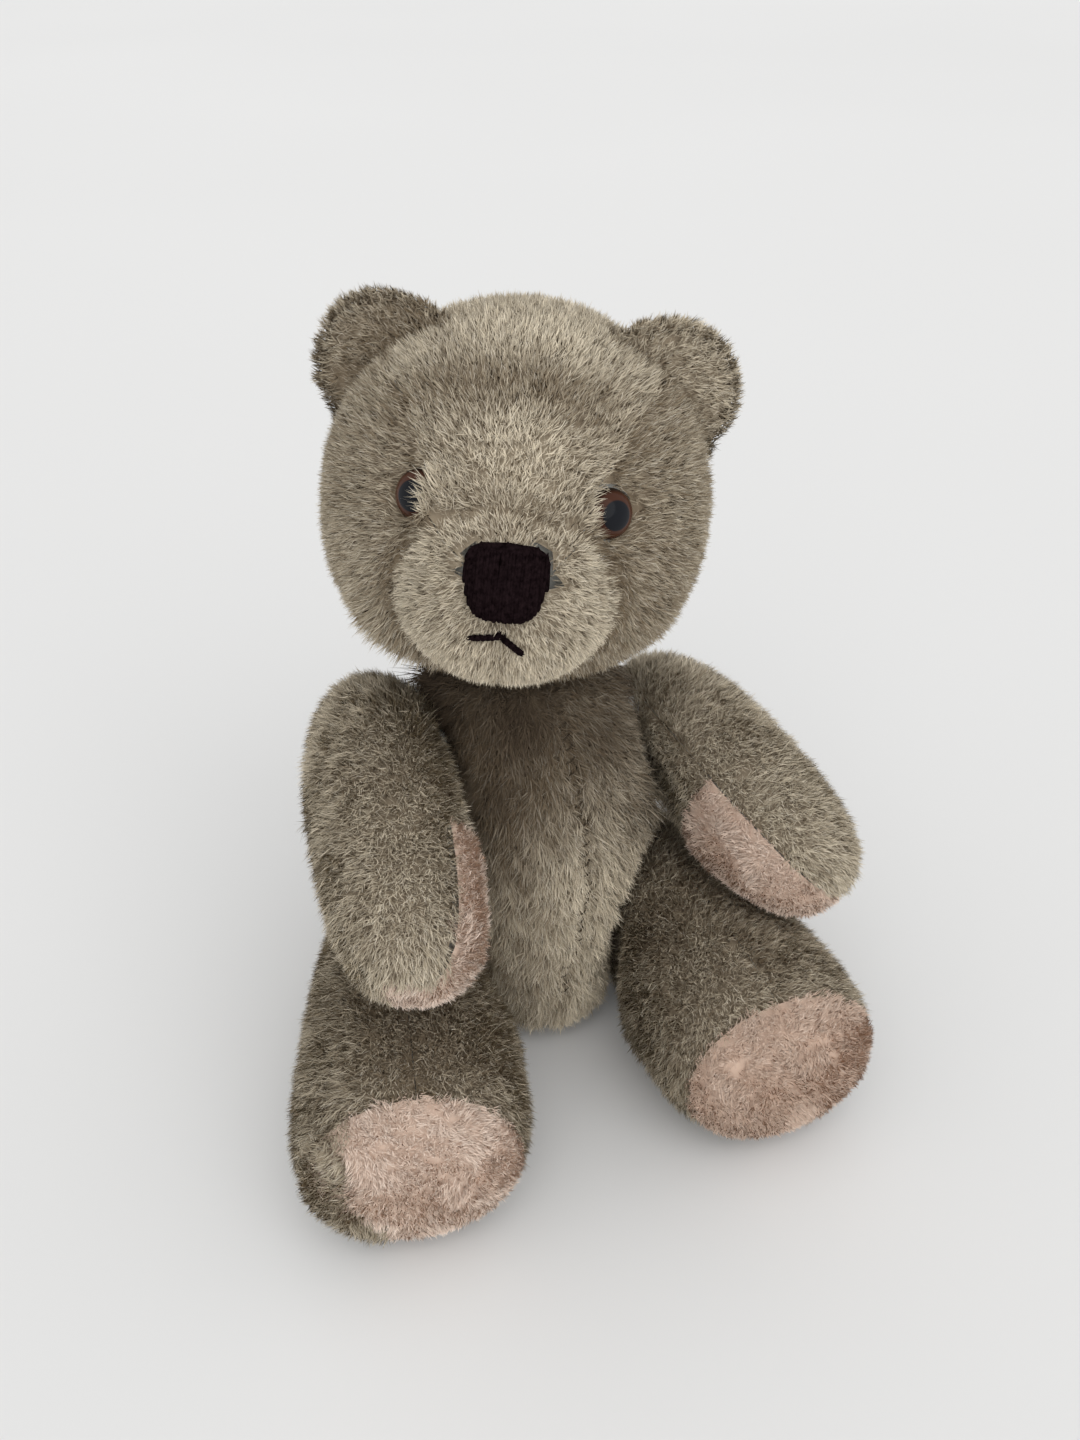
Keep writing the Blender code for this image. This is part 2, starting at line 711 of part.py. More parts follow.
def build_ear(name, side, head, around):
    """The front and back cloth of one ear, seated on the head."""
    place = (
        Matrix.Translation((side * EAR_PLACE.x, EAR_PLACE.y, EAR_PLACE.z))
        @ Matrix.Rotation(side * math.radians(EAR_FACE), 4, "Z")
        @ Matrix.Rotation(side * math.radians(EAR_OUT), 4, "Y")
    )
    for cloth, face in (("front", -1), ("back", 1)):
        mesh = for_side(ear_side_mesh(face), side)
        cut(add_part(f"ear_{name}_{cloth}", mesh, head, PILE_CLOTH, place), around)


def build_nose(head, around):
    """The stitched nose, a domed pad with a rounded outline, seated on the muzzle."""
    middle = front_of_head(0.0, NOSE_HEIGHT)
    above = front_of_head(0.0, NOSE_HEIGHT + NOSE_HALF_HEIGHT / 2)
    below = front_of_head(0.0, NOSE_HEIGHT - NOSE_HALF_HEIGHT / 2)
    up = (above - below).normalized()
    pitch = Matrix.Rotation(math.atan2(up.y, up.z), 4, "X").inverted()
    place = Matrix.Translation(middle) @ pitch

    def ring(share, out):
        points = []
        for i in range(NOSE_SIDES):
            angle = 2 * math.pi * i / NOSE_SIDES
            x = math.copysign(abs(math.cos(angle)) ** NOSE_SQUARENESS, math.cos(angle))
            z = math.copysign(abs(math.sin(angle)) ** NOSE_SQUARENESS, math.sin(angle))
            taper = NOSE_FOOT_SHARE + (NOSE_TOP_SHARE - NOSE_FOOT_SHARE) * (z + 1) / 2
            points.append(
                Vector((NOSE_HALF_WIDTH * taper * share * x, -out, NOSE_HALF_HEIGHT * share * z))
            )
        return points

    rings = [ring(share, NOSE_PROUD * proud) for share, proud in NOSE_RINGS]
    rings.append(ring(1.0, -NOSE_ROOT))
    mesh = loft("nose", rings, Vector((0, -NOSE_PROUD, 0)), Vector((0, NOSE_ROOT, 0)))
    cut(add_part("nose", mesh, head, NOSE_THREAD, place), around)


def stroke_mesh(name, ends):
    """A thread laid on the muzzle between places given by side and height."""
    points = []
    for (x0, z0), (x1, z1) in zip(ends, ends[1:]):
        for k in range(THREAD_STEPS):
            share = k / THREAD_STEPS
            points.append((x0 + (x1 - x0) * share, z0 + (z1 - z0) * share))
    points.append(ends[-1])
    path = []
    for x, z in points:
        surface = front_of_head(x, z)
        path.append(surface * (1 + (THREAD_RADIUS + GAP) / surface.length))
    rings = []
    for k, point in enumerate(path):
        ahead = (path[min(k + 1, len(path) - 1)] - path[max(k - 1, 0)]).normalized()
        out = point.normalized()
        across = ahead.cross(out).normalized()
        out = across.cross(ahead)
        ring = []
        for i in range(THREAD_SIDES):
            angle = 2 * math.pi * i / THREAD_SIDES
            ring.append(point + THREAD_RADIUS * (math.cos(angle) * across + math.sin(angle) * out))
        rings.append(ring)
    return loft(name, rings, path[0], path[-1])


def build_mouth(head):
    """The thread of the mouth: down from the nose, then out to each side."""
    fork = (0.0, MOUTH_FORK)
    down_and_right = stroke_mesh("mouth", [(0.0, MOUTH_TOP), fork, tuple(MOUTH_RIGHT)])
    mouth = add_part("mouth", down_and_right, head, NOSE_THREAD)
    left = add_cutter("mouth_left", stroke_mesh("mouth_left", [fork, tuple(MOUTH_LEFT)]), head)
    combine(mouth, left, "UNION")


# Limbs, made for the bear's left, with X out of the torso and the limb along -Y


def limb_mesh(name, limb, sides, rings_count, inset=0.0):
    """A stuffed limb, or its inner wall at some inset: round at the joint, blunter at the tip."""
    length = limb["behind"] + limb["reach"] - 2 * inset
    rings = []
    for k in range(1, rings_count):
        v = -math.cos(math.pi * k / rings_count)
        power = limb["tip_power"] if v > 0 else JOINT_END_POWER
        size = (1 - abs(v) ** power) ** (1 / power)
        along = inset - limb["behind"] + length * (v + 1) / 2
        share = min(1.0, max(0.0, along / limb["reach"]))
        height = limb["height"] + (limb["tip_height"] - limb["height"]) * share - inset
        thick = limb["thick"] + (limb["tip_thick"] - limb["thick"]) * share - inset
        middle = limb["middle"] + (limb["tip_middle"] - limb["middle"]) * share
        ease = min(1.0, max(0.0, (along - limb["clear"]) / limb["ease"]))
        least = HALF_GAP + inset - limb["swell"] * eased(ease)
        ring = []
        for i in range(sides):
            angle = 2 * math.pi * (i + ODD_TURN) / sides
            x = max(least, middle + thick * size * math.cos(angle))
            z = max(limb["floor"] + inset, height * size * math.sin(angle))
            ring.append(Vector((x, -along, z)))
        rings.append(ring)
    return loft(
        name,
        rings,
        Vector((limb["middle"], limb["behind"] - inset, 0)),
        Vector((limb["tip_middle"], inset - limb["reach"], 0)),
    )


ARM = {
    "behind": ARM_BEHIND,
    "reach": ARM_REACH,
    "height": ARM_HALF_HEIGHT,
    "tip_height": PAW_HALF_HEIGHT,
    "thick": ARM_HALF_THICK,
    "tip_thick": PAW_HALF_THICK,
    "middle": ARM_MIDDLE,
    "tip_middle": PAW_MIDDLE,
    "swell": ARM_SWELL,
    "clear": ARM_CLEAR,
    "ease": LIMB_EASE,
    "tip_power": PAW_POWER,
    "floor": -ARM_REACH,
    "disc": ARM_DISC_RADIUS,
}

LEG = {
    "behind": LEG_BEHIND,
    "reach": LEG_REACH,
    "height": LEG_HALF_HEIGHT,
    "tip_height": FOOT_HALF_HEIGHT,
    "thick": LEG_HALF_THICK,
    "tip_thick": FOOT_HALF_THICK,
    "middle": LEG_MIDDLE,
    "tip_middle": FOOT_MIDDLE,
    "swell": LEG_SWELL,
    "clear": LEG_CLEAR,
    "ease": LIMB_EASE,
    "tip_power": FOOT_POWER,
    "floor": -THIGH_HEIGHT,
    "disc": LEG_DISC_RADIUS,
}


def add_block(name, low, high, frame, matrix=None):
    """A block that keeps one panel of a limb."""
    return add_cutter(f"{name}_block", box_mesh(name, low, high), frame, matrix)


def build_limb(kind, frame, limb, panels, sides):
    """The panels and stuffing of the left limb of a pair, cut where its cover is sewn."""
    mesh = limb_mesh("inside", limb, INNER_SIDES, INNER_RINGS, SKIN)
    inside = add_cutter(f"{kind}_inside", mesh, frame)
    hole = add_cutter(f"{kind}_hole", stepped_mesh("hole", limb_steps(limb["disc"])), frame)
    made = {}
    for panel, (block, material) in panels.items():
        mesh = limb_mesh(panel, limb, sides, LIMB_RINGS)
        made[panel] = add_part(f"{kind}_left_{panel}", mesh, frame, material)
        keep(made[panel], block)
        cut(made[panel], inside, hole)
    mesh = limb_mesh("filling", limb, INNER_SIDES, INNER_RINGS, SKIN + GAP)
    made["stuffing"] = cut(add_part(f"{kind}_left_stuffing", mesh, frame, FILLING), hole)
    return made


def take_mirror(made, kind, frame):
    """The right limb's pieces, each the mirror image of the left one's."""
    for panel, part in made.items():
        mesh = mirrored(baked(part))
        add_part(f"{kind}_right_{panel}", mesh, frame, part.data.materials[0])


def build_arms(frames):
    """Both arms: an outer and an inner panel, a paw pad and stuffing."""
    frame = frames["left"]
    middle = Matrix.Translation((ARM_MIDDLE, 0, 0)) @ Matrix.Rotation(-math.radians(PALM_TURN), 4, "Y")
    far = FAR * ARM_REACH
    wrist = PAW_PAD_LENGTH - ARM_REACH
    outer = add_block("arm_outer", (HALF_GAP, -far, -far), (far, far, far), frame, middle)
    inner = add_block("arm_inner", (-far, wrist + HALF_GAP, -far), (-HALF_GAP, far, far), frame, middle)
    pad = add_block("paw_pad", (-far, -far, -far), (-HALF_GAP, wrist - HALF_GAP, far), frame, middle)
    panels = {"outer": (outer, PILE_CLOTH), "inner": (inner, PILE_CLOTH), "paw_pad": (pad, PAD_CLOTH)}
    take_mirror(build_limb("arm", frame, ARM, panels, ARM_SIDES), "arm", frames["right"])


def build_legs(frames):
    """Both legs: an outer and an inner panel, a sole pad and stuffing."""
    frame = frames["left"]
    middle = Matrix.Translation(((LEG_MIDDLE + FOOT_MIDDLE) / 2, 0, 0))
    far = FAR * LEG_REACH
    edge = SOLE_DEPTH - LEG_REACH
    outer = add_block("leg_outer", (HALF_GAP, edge + HALF_GAP, -far), (far, far, far), frame, middle)
    inner = add_block("leg_inner", (-far, edge + HALF_GAP, -far), (-HALF_GAP, far, far), frame, middle)
    sole = add_block("foot_pad", (-far, -far, -far), (far, edge - HALF_GAP, far), frame)
    panels = {"outer": (outer, PILE_CLOTH), "inner": (inner, PILE_CLOTH), "foot_pad": (sole, PAD_CLOTH)}
    take_mirror(build_limb("leg", frame, LEG, panels, LEG_SIDES), "leg", frames["right"])


# Joint hardware, turned about its own Z, with Z out of the torso and 0 at the joint's plane

JOINT_FACE = JOINT_SKIN + HALF_GAP
DISC_NEAR = JOINT_FACE + GAP
DISC_FAR = DISC_NEAR + DISC_THICK
LOCK_NEAR = DISC_FAR + GAP
LOCK_FAR = LOCK_NEAR + LOCK_THICK
POST_TIP = LOCK_FAR + POST_END


def limb_steps(disc_radius):
    """The hole for the post and the pocket for the disc in a limb or the head, along X."""
    hole, pocket = roomy(POST_RADIUS), roomy(disc_radius)
    return [(hole, -MM), (hole, JOINT_FACE), (pocket, JOINT_FACE), (pocket, DISC_FAR + GAP)]


def torso_steps(disc_radius):
    """The hole for the post and the pockets for the disc and washer in the torso, along -X."""
    hole, pocket, lock = roomy(POST_RADIUS), roomy(disc_radius), roomy(LOCK_RADIUS)
    far = -DISC_FAR - GAP
    steps = [(hole, MM), (hole, -JOINT_FACE), (pocket, -JOINT_FACE)]
    return steps + [(pocket, far), (lock, far), (lock, -POST_TIP - GAP)]


def ring_profile(hole, radius, upper, lower):
    """A flat ring with a hole, from its upper face to its lower one."""
    return [(hole, upper), (radius, upper), (radius, lower), (hole, lower)]


def build_joint(name, limb_frame, torso_frame, disc_radius, turn):
    """One joint's three plastic pieces. The washer grips the post, so it turns with the limb."""
    post = [(POST_RADIUS, DISC_NEAR), (POST_RADIUS, -POST_TIP), (0.0, -POST_TIP)]
    disc = [(0.0, DISC_FAR), (disc_radius, DISC_FAR), (disc_radius, DISC_NEAR), *post]
    washer = ring_profile(POST_RADIUS + GAP, disc_radius, -DISC_NEAR, -DISC_FAR)
    lock = ring_profile(POST_RADIUS + GAP, LOCK_RADIUS, -LOCK_NEAR, -LOCK_FAR)
    add_turned(f"{name}_disc", disc, limb_frame, JOINT_PLASTIC, turn)
    add_turned(f"{name}_torso_disc", washer, torso_frame, JOINT_PLASTIC, turn)
    add_turned(f"{name}_lock_washer", lock, limb_frame, JOINT_PLASTIC, turn)


ALONG_Z = Matrix.Rotation(-math.pi / 2, 4, "Y")  # turns what was made along X to lie along Z


# Assembly


def build_bear():
    """Every frame, cover, filling and joint of the bear, from the floor up."""
    root = add_empty("bear", Matrix())
    neck = add_empty("neck", Matrix.Translation((0, 0, TORSO_HEIGHT)), root)
    turn = Matrix.Rotation(math.radians(HEAD_TURN), 4, "Z")
    neck_turned = add_empty("neck_turned", turn, neck)
    head = add_empty("head", head_frame(), neck_turned)
    shoulders, arms, hips, legs = {}, {}, {}, {}
    for name, side in SIDES.items():
        droop = Matrix.Rotation(math.radians(ARM_DROOPS[side]), 4, "X")
        shoulders[name] = add_empty(f"shoulder_{name}", shoulder_frame(side), root)
        arms[name] = add_empty(f"arm_{name}", droop, shoulders[name])
        hips[name] = add_empty(f"hip_{name}", hip_frame(side), root)
        legs[name] = add_empty(f"leg_{name}", Matrix(), hips[name])

    joints = [("neck_joint", neck_turned, neck, NECK_DISC_RADIUS, Matrix())]
    for name, side in SIDES.items():
        joints.append((f"arm_{name}_joint", arms[name], shoulders[name], ARM_DISC_RADIUS, outward(side)))
        joints.append((f"leg_{name}_joint", legs[name], hips[name], LEG_DISC_RADIUS, outward(side)))
    holes = []
    for name, limb_frame, torso_frame, radius, turned in joints:
        build_joint(name, limb_frame, torso_frame, radius, turned)
        mesh = stepped_mesh("hole", torso_steps(radius))
        holes.append(add_cutter(f"{name}_hole", mesh, torso_frame, turned @ ALONG_Z))

    build_torso(root, holes)
    mesh = stepped_mesh("hole", limb_steps(NECK_DISC_RADIUS))
    build_head(head, add_cutter("neck_hole", mesh, head, head_frame().inverted() @ ALONG_Z))
    build_arms(arms)
    build_legs(legs)
    return root


def stand_on_origin(root):
    """Move the bear so that the point midway under its box is the origin."""
    bpy.context.view_layer.update()
    graph = bpy.context.evaluated_depsgraph_get()
    low, high = Vector((math.inf,) * 3), Vector((-math.inf,) * 3)
    for part in BEAR.objects:
        if part.type != "MESH":
            continue
        shape = part.evaluated_get(graph)
        for vertex in shape.to_mesh().vertices:
            place = shape.matrix_world @ vertex.co
            low = Vector(map(min, low, place))
            high = Vector(map(max, high, place))
        shape.to_mesh_clear()
    root.location = (-(low.x + high.x) / 2, -(low.y + high.y) / 2, -low.z)


stand_on_origin(build_bear())
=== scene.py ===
"""Dresses the jointed teddy bear in worn pile, pads, thread and eyes, and lights it on a pale floor."""

import json
import logging
import math
from collections.abc import Callable, Sequence
from dataclasses import dataclass, field, fields, replace
from enum import Enum

import bpy
import numpy as np
from mathutils import Matrix, Vector
from mathutils.bvhtree import BVHTree

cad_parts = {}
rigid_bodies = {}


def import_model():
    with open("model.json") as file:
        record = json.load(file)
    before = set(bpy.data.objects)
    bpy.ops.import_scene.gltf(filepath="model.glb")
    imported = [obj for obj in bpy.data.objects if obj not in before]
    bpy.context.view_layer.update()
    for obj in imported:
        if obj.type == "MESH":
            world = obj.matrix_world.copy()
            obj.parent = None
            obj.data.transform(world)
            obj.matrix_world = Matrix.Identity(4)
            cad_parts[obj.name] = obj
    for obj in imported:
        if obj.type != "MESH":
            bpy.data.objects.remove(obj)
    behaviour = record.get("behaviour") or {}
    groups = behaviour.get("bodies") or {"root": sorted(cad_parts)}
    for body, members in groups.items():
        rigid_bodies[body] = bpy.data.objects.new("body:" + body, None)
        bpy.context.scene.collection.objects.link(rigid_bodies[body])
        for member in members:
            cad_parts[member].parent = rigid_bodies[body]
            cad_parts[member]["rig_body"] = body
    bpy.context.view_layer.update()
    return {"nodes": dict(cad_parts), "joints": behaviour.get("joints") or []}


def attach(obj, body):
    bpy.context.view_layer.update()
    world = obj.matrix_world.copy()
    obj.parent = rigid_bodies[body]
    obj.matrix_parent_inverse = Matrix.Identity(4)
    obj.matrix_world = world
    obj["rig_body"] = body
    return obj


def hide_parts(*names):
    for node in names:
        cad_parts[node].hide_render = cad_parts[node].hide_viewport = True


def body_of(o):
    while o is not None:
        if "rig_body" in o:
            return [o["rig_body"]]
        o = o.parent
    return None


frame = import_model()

log = logging.getLogger("bear")

MM = 0.001
Colour = tuple[float, float, float]
Place = tuple[float, float, float]
Array = np.ndarray
Socket = bpy.types.NodeSocket


class Side(Enum):
    """The bear's own left and right."""

    LEFT = "left"
    RIGHT = "right"


def unit(vectors: Array) -> Array:
    """Returns the vectors at length one."""
    lengths = np.linalg.norm(vectors, axis=-1, keepdims=True)
    return vectors / np.maximum(lengths, 1e-12)


def dot(a: Array, b: Array) -> Array:
    """Returns the row by row dot product, as a column."""
    return np.sum(a * b, axis=-1, keepdims=True)


def clamp(values: Array) -> Array:
    """Returns the values kept from 0 to 1."""
    return np.clip(values, 0.0, 1.0)


def fade(distance: Array, reach: float) -> Array:
    """Returns 1 at no distance and 0 beyond the reach, with a soft edge."""
    share = clamp(1.0 - distance / reach)
    return share * share * (3.0 - 2.0 * share)


def between(turn: Array | float, start: Array, side: Array) -> Array:
    """Returns the way that lies this turn from a starting way towards one beside it."""
    return start * np.cos(turn) + side * np.sin(turn)


def face_ways(points: Array, faces: Array) -> Array:
    """Returns each face's way out, as long as twice the face's area."""
    a, b, c = (points[faces[:, k]] for k in range(3))
    return np.cross(b - a, c - a)


def ring_quads(rings: int, sides: int) -> Array:
    """Returns the quads that join rings of points, one ring after another."""
    quads = []
    for i in range(rings - 1):
        for j in range(sides):
            k = (j + 1) % sides
            quads.append((i * sides + j, i * sides + k, (i + 1) * sides + k, (i + 1) * sides + j))
    return np.array(quads)


def side_by_side(first: Array, second: Array) -> Array:
    """Returns two lists of values as the two columns of a UV layer."""
    return np.stack([first, second], axis=1)


def joint_place(name: str) -> Array:
    """Returns the place of one of the frame's joints."""
    return np.array(next(joint["pos_m"] for joint in frame["joints"] if joint["name"] == name))


def show(name: str, data: bpy.types.ID) -> bpy.types.Object:
    """Returns a new object of this data, put in the scene."""
    obj = bpy.data.objects.new(name, data)
    bpy.context.scene.collection.objects.link(obj)
    return obj


def swirl(points: Array, size: float, shift: float) -> Array:
    """Gives a smooth, uneven value from -1 to 1 over space.

    Args:
        points: Places, one a row.
        size: Rough distance between two highs.
        shift: Moves the pattern, so that two uses differ.

    Returns:
        One value a row.
    """
    p = points * (2.0 * math.pi / size)
    x, y, z = p[:, 0] + shift, p[:, 1] - 1.7 * shift, p[:, 2] + 0.6 * shift
    waves = np.sin(x + 1.3 * np.sin(0.7 * y + 0.4 * z)) + np.sin(0.8 * y - 0.9 * z + 1.1 * np.sin(x))
    return (waves + np.sin(1.1 * z + 0.6 * x - 1.2 * np.sin(0.9 * y))) / 3.0


def whirl(points: Array) -> Array:
    """Returns small turns of the brushing, different from place to place."""
    sizes_and_shifts = ((21.0 * MM, 0.3), (19.0 * MM, 2.1), (24.0 * MM, 4.4))
    return np.stack([swirl(points, size, shift) for size, shift in sizes_and_shifts], axis=1)


# Finishes


def grey(level: float) -> Colour:
    """Returns a grey of this level."""
    return level, level, level


class Wiring:
    """A material's node tree, with short ways to add nodes to it."""

    def __init__(self, name: str) -> None:
        """Makes the material with its plain shader."""
        self.material = bpy.data.materials.new(name)
        self.material.use_nodes = True
        self.tree = self.material.node_tree
        self.shader = self.tree.nodes["Principled BSDF"]

    def set(self, **values: float | tuple[float, ...]) -> None:
        """Sets the shader's sockets, named with underscores for spaces."""
        for name, value in values.items():
            self.shader.inputs[name.replace("_", " ")].default_value = value

    def node(self, kind: str, **settings: object) -> bpy.types.Node:
        """Adds a node and sets its properties."""
        made = self.tree.nodes.new(kind)
        for name, value in settings.items():
            setattr(made, name, value)
        return made

    def link(self, out: Socket, into: Socket) -> None:
        """Joins two sockets."""
        self.tree.links.new(out, into)

    def noise(self, scale: float, detail: float, roughness: float = 0.55) -> Socket:
        """Adds a noise over the object's own space.

        Args:
            scale: Highs for each metre.
            detail: Octaves.
            roughness: Strength of the finer octaves.

        Returns:
            The noise's value.
        """
        place = self.node("ShaderNodeTexCoord")
        made = self.node("ShaderNodeTexNoise")
        made.inputs["Scale"].default_value = scale
        made.inputs["Detail"].default_value = detail
        made.inputs["Roughness"].default_value = roughness
        self.link(place.outputs["Object"], made.inputs["Vector"])
        return made.outputs["Fac"]

    def ramp(self, value: Socket, stops: Sequence[tuple[float, Colour]]) -> Socket:
        """Adds a colour ramp.

        Args:
            value: What is looked up.
            stops: Places from 0 to 1, each with its colour.

        Returns:
            The colour.
        """
        made = self.node("ShaderNodeValToRGB")
        entries = made.color_ramp.elements
        while len(entries) < len(stops):
            entries.new(0.5)
        for entry, (place, colour) in zip(entries, stops):
            entry.position = place
            entry.color = (*colour, 1.0)
        self.link(value, made.inputs["Fac"])
        return made.outputs["Color"]

    def mix(self, share: Socket, a: Socket, b: Colour) -> Socket:
        """Adds a mix of two colours.

        Args:
            share: How much of the second.
            a: The first colour.
            b: The second, which is plain.

        Returns:
            The mixed colour.
        """
        made = self.node("ShaderNodeMix", data_type="RGBA")
        self.link(share, made.inputs[0])
        self.link(a, made.inputs[6])
        made.inputs[7].default_value = (*b, 1.0)
        return made.outputs[2]

    def sum(self, a: Socket, b: Socket, share: float, back: float) -> Socket:
        """Adds a share of a second value, less a constant, to a first, kept from 0 to 1."""
        scaled = self.node("ShaderNodeMath", operation="MULTIPLY_ADD")
        self.link(b, scaled.inputs[0])
        scaled.inputs[1].default_value = share
        scaled.inputs[2].default_value = -back
        made = self.node("ShaderNodeMath", operation="ADD", use_clamp=True)
        self.link(a, made.inputs[0])
        self.link(scaled.outputs[0], made.inputs[1])
        return made.outputs[0]

    def split(self, layer: str) -> tuple[Socket, Socket]:
        """Returns the two values of a UV layer."""
        source = self.node("ShaderNodeUVMap", uv_map=layer)
        made = self.node("ShaderNodeSeparateXYZ")
        self.link(source.outputs["UV"], made.inputs[0])
        return made.outputs["X"], made.outputs["Y"]

    def bump(self, height: Socket, strength: float, distance: float) -> None:
        """Lays a bump of this height on the shader."""
        made = self.node("ShaderNodeBump")
        made.inputs["Strength"].default_value = strength
        made.inputs["Distance"].default_value = distance
        self.link(height, made.inputs["Height"])
        self.link(made.outputs["Normal"], self.shader.inputs["Normal"])

    def colour(self, colour: Socket) -> None:
        """Joins a colour to the shader."""
        self.link(colour, self.shader.inputs["Base Color"])


@dataclass(frozen=True)
class PileFinish:
    """Pile cloth: its colours from the backing to the tips of its hairs, and the dark colour of its dirt and
    painted shade.
    """

    name: str
    slot: str
    root: Colour
    dark: Colour
    light: Colour
    grime: Colour
    bleach: Colour

    def material(self) -> bpy.types.Material:
        """Returns the cloth's material, which reads the tone of each hair and its dirt and painted shade."""
        w = Wiring(self.name)
        tone, along = w.split("pile")
        wear, chance = w.split("wear")
        patchy = w.sum(tone, w.noise(55.0, 3.0), 0.24, 0.12)
        base = w.ramp(patchy, ((0.0, self.dark), (1.0, self.light)))
        # Pale tips on a random share of the hairs: partly bleached fibre, partly painted highlight.
        tips = w.ramp(chance, ((0.72, grey(0.0)), (0.93, grey(1.0))))
        reach = w.ramp(along, ((0.45, grey(0.0)), (1.0, grey(0.75))))
        pale = w.node("ShaderNodeMath", operation="MULTIPLY")
        w.link(tips, pale.inputs[0])
        w.link(reach, pale.inputs[1])
        base = w.mix(pale.outputs[0], base, self.bleach)
        base = w.mix(wear, base, self.grime)
        depth = w.ramp(along, ((0.0, grey(1.0)), (0.5, grey(0.40)), (0.9, grey(0.0))))
        w.colour(w.mix(depth, base, self.root))
        w.set(Roughness=0.85, Specular_IOR_Level=0.15)
        return w.material


@dataclass(frozen=True)
class ThreadFinish:
    """Embroidery thread, with fine fibres along it."""

    name: str
    slot: str
    dark: Colour
    light: Colour
    roughness: float = 0.9

    def material(self) -> bpy.types.Material:
        """Returns the thread's material."""
        w = Wiring(self.name)
        w.colour(w.ramp(w.noise(900.0, 4.0, 0.7), ((0.3, self.dark), (0.75, self.light))))
        w.set(Roughness=self.roughness, Specular_IOR_Level=0.0)
        w.bump(w.noise(2600.0, 3.0), 0.5, 0.0002)
        return w.material


@dataclass(frozen=True)
class EyeFinish:
    """A brown plastic eye with a dark pupil, read from its middle to its rim."""

    name: str
    slot: str
    pupil: Colour
    ring: Colour
    rim: Colour
    pupil_share: float = 0.56

    def material(self) -> bpy.types.Material:
        """Returns the eye's polished material."""
        w = Wiring(self.name)
        across, _ = w.split("dome")
        edge = self.pupil_share
        stops = (
            (0.0, self.pupil), (edge, self.pupil), (edge + 0.05, self.ring),
            (0.84, self.ring), (0.95, self.rim),
        )
        w.colour(w.ramp(across, stops))
        scuffs = w.noise(420.0, 4.0, 0.7)
        dullness = w.ramp(scuffs, ((0.45, grey(0.07)), (0.8, grey(0.3))))
        w.link(dullness, w.shader.inputs["Roughness"])
        w.set(Specular_IOR_Level=0.14)
        return w.material


@dataclass(frozen=True)
class PlainFinish:
    """Moulded plastic, loose filling or paper: two near colours in a fine pattern, with a light bump."""

    name: str
    dark: Colour
    light: Colour
    roughness: float
    scale: float
    relief: float
    detail: float = 4.0
    specular: float = 0.35

    def material(self) -> bpy.types.Material:
        """Returns the material."""
        w = Wiring(self.name)
        grain = w.noise(self.scale, self.detail)
        w.colour(w.ramp(grain, ((0.3, self.dark), (0.7, self.light))))
        w.set(Roughness=self.roughness, Specular_IOR_Level=self.specular)
        if self.relief > 0.0:
            w.bump(grain, 0.4, self.relief)
        return w.material


BEAR_PILE = PileFinish(
    "bear pile", "pile_cloth", (0.200, 0.150, 0.098), (0.185, 0.136, 0.080), (0.99, 0.88, 0.68),
    (0.045, 0.030, 0.020), (0.98, 0.91, 0.78),
)
PAD_PILE = PileFinish(
    "pad pile", "pad_cloth", (0.64, 0.48, 0.38), (0.62, 0.455, 0.35), (0.99, 0.84, 0.72),
    (0.62, 0.31, 0.23), (0.99, 0.90, 0.81),
)
NOSE_THREAD = ThreadFinish("nose thread", "nose_thread", (0.0020, 0.0011, 0.0013), (0.019, 0.0110, 0.0125))
SEAM_THREAD = ThreadFinish("seam thread", "nose_thread", (0.030, 0.022, 0.015), (0.10, 0.078, 0.054))
EYE_PLASTIC = EyeFinish(
    "eye plastic", "eye_plastic", (0.008, 0.009, 0.012), (0.060, 0.022, 0.012), (0.016, 0.009, 0.007)
)
JOINT_PLASTIC = PlainFinish("joint plastic", (0.66, 0.66, 0.64), (0.75, 0.75, 0.73), 0.5, 260.0, 0.0001)
FILLING = PlainFinish("filling", (0.70, 0.69, 0.63), (0.86, 0.85, 0.80), 0.95, 300.0, 0.0010)
PAPER = PlainFinish("floor paper", (0.78, 0.78, 0.775), (0.80, 0.80, 0.795), 0.9, 0.9, 0.0, 2.0, 0.1)


# Cloth shapes read from the frame


@dataclass
class Shell:
    """The outer face of one cloth panel, with smooth normals."""

    node: str
    points: Array
    faces: Array
    normals: Array
    roundness: float = 0.7

    def areas(self) -> Array:
        """Returns each face's area."""
        return np.linalg.norm(face_ways(self.points, self.faces), axis=1) / 2.0

    def smooth(self, face: Array, weights: Array) -> tuple[Array, Array]:
        """Finds places on the rounded form that the faces stand for.

        Args:
            face: The number of the face of each place.
            weights: The three weights of each place's corners.

        Returns:
            The places and their normals.
        """
        corners = self.points[self.faces[face]]
        normals = self.normals[self.faces[face]]
        w = weights[:, :, None]
        flat = np.sum(corners * w, axis=1)
        lifted = flat[:, None, :] - dot(flat[:, None, :] - corners, normals) * normals
        rounded = np.sum(lifted * w, axis=1)
        places = (1.0 - self.roundness) * flat + self.roundness * rounded
        return places, unit(np.sum(normals * w, axis=1))


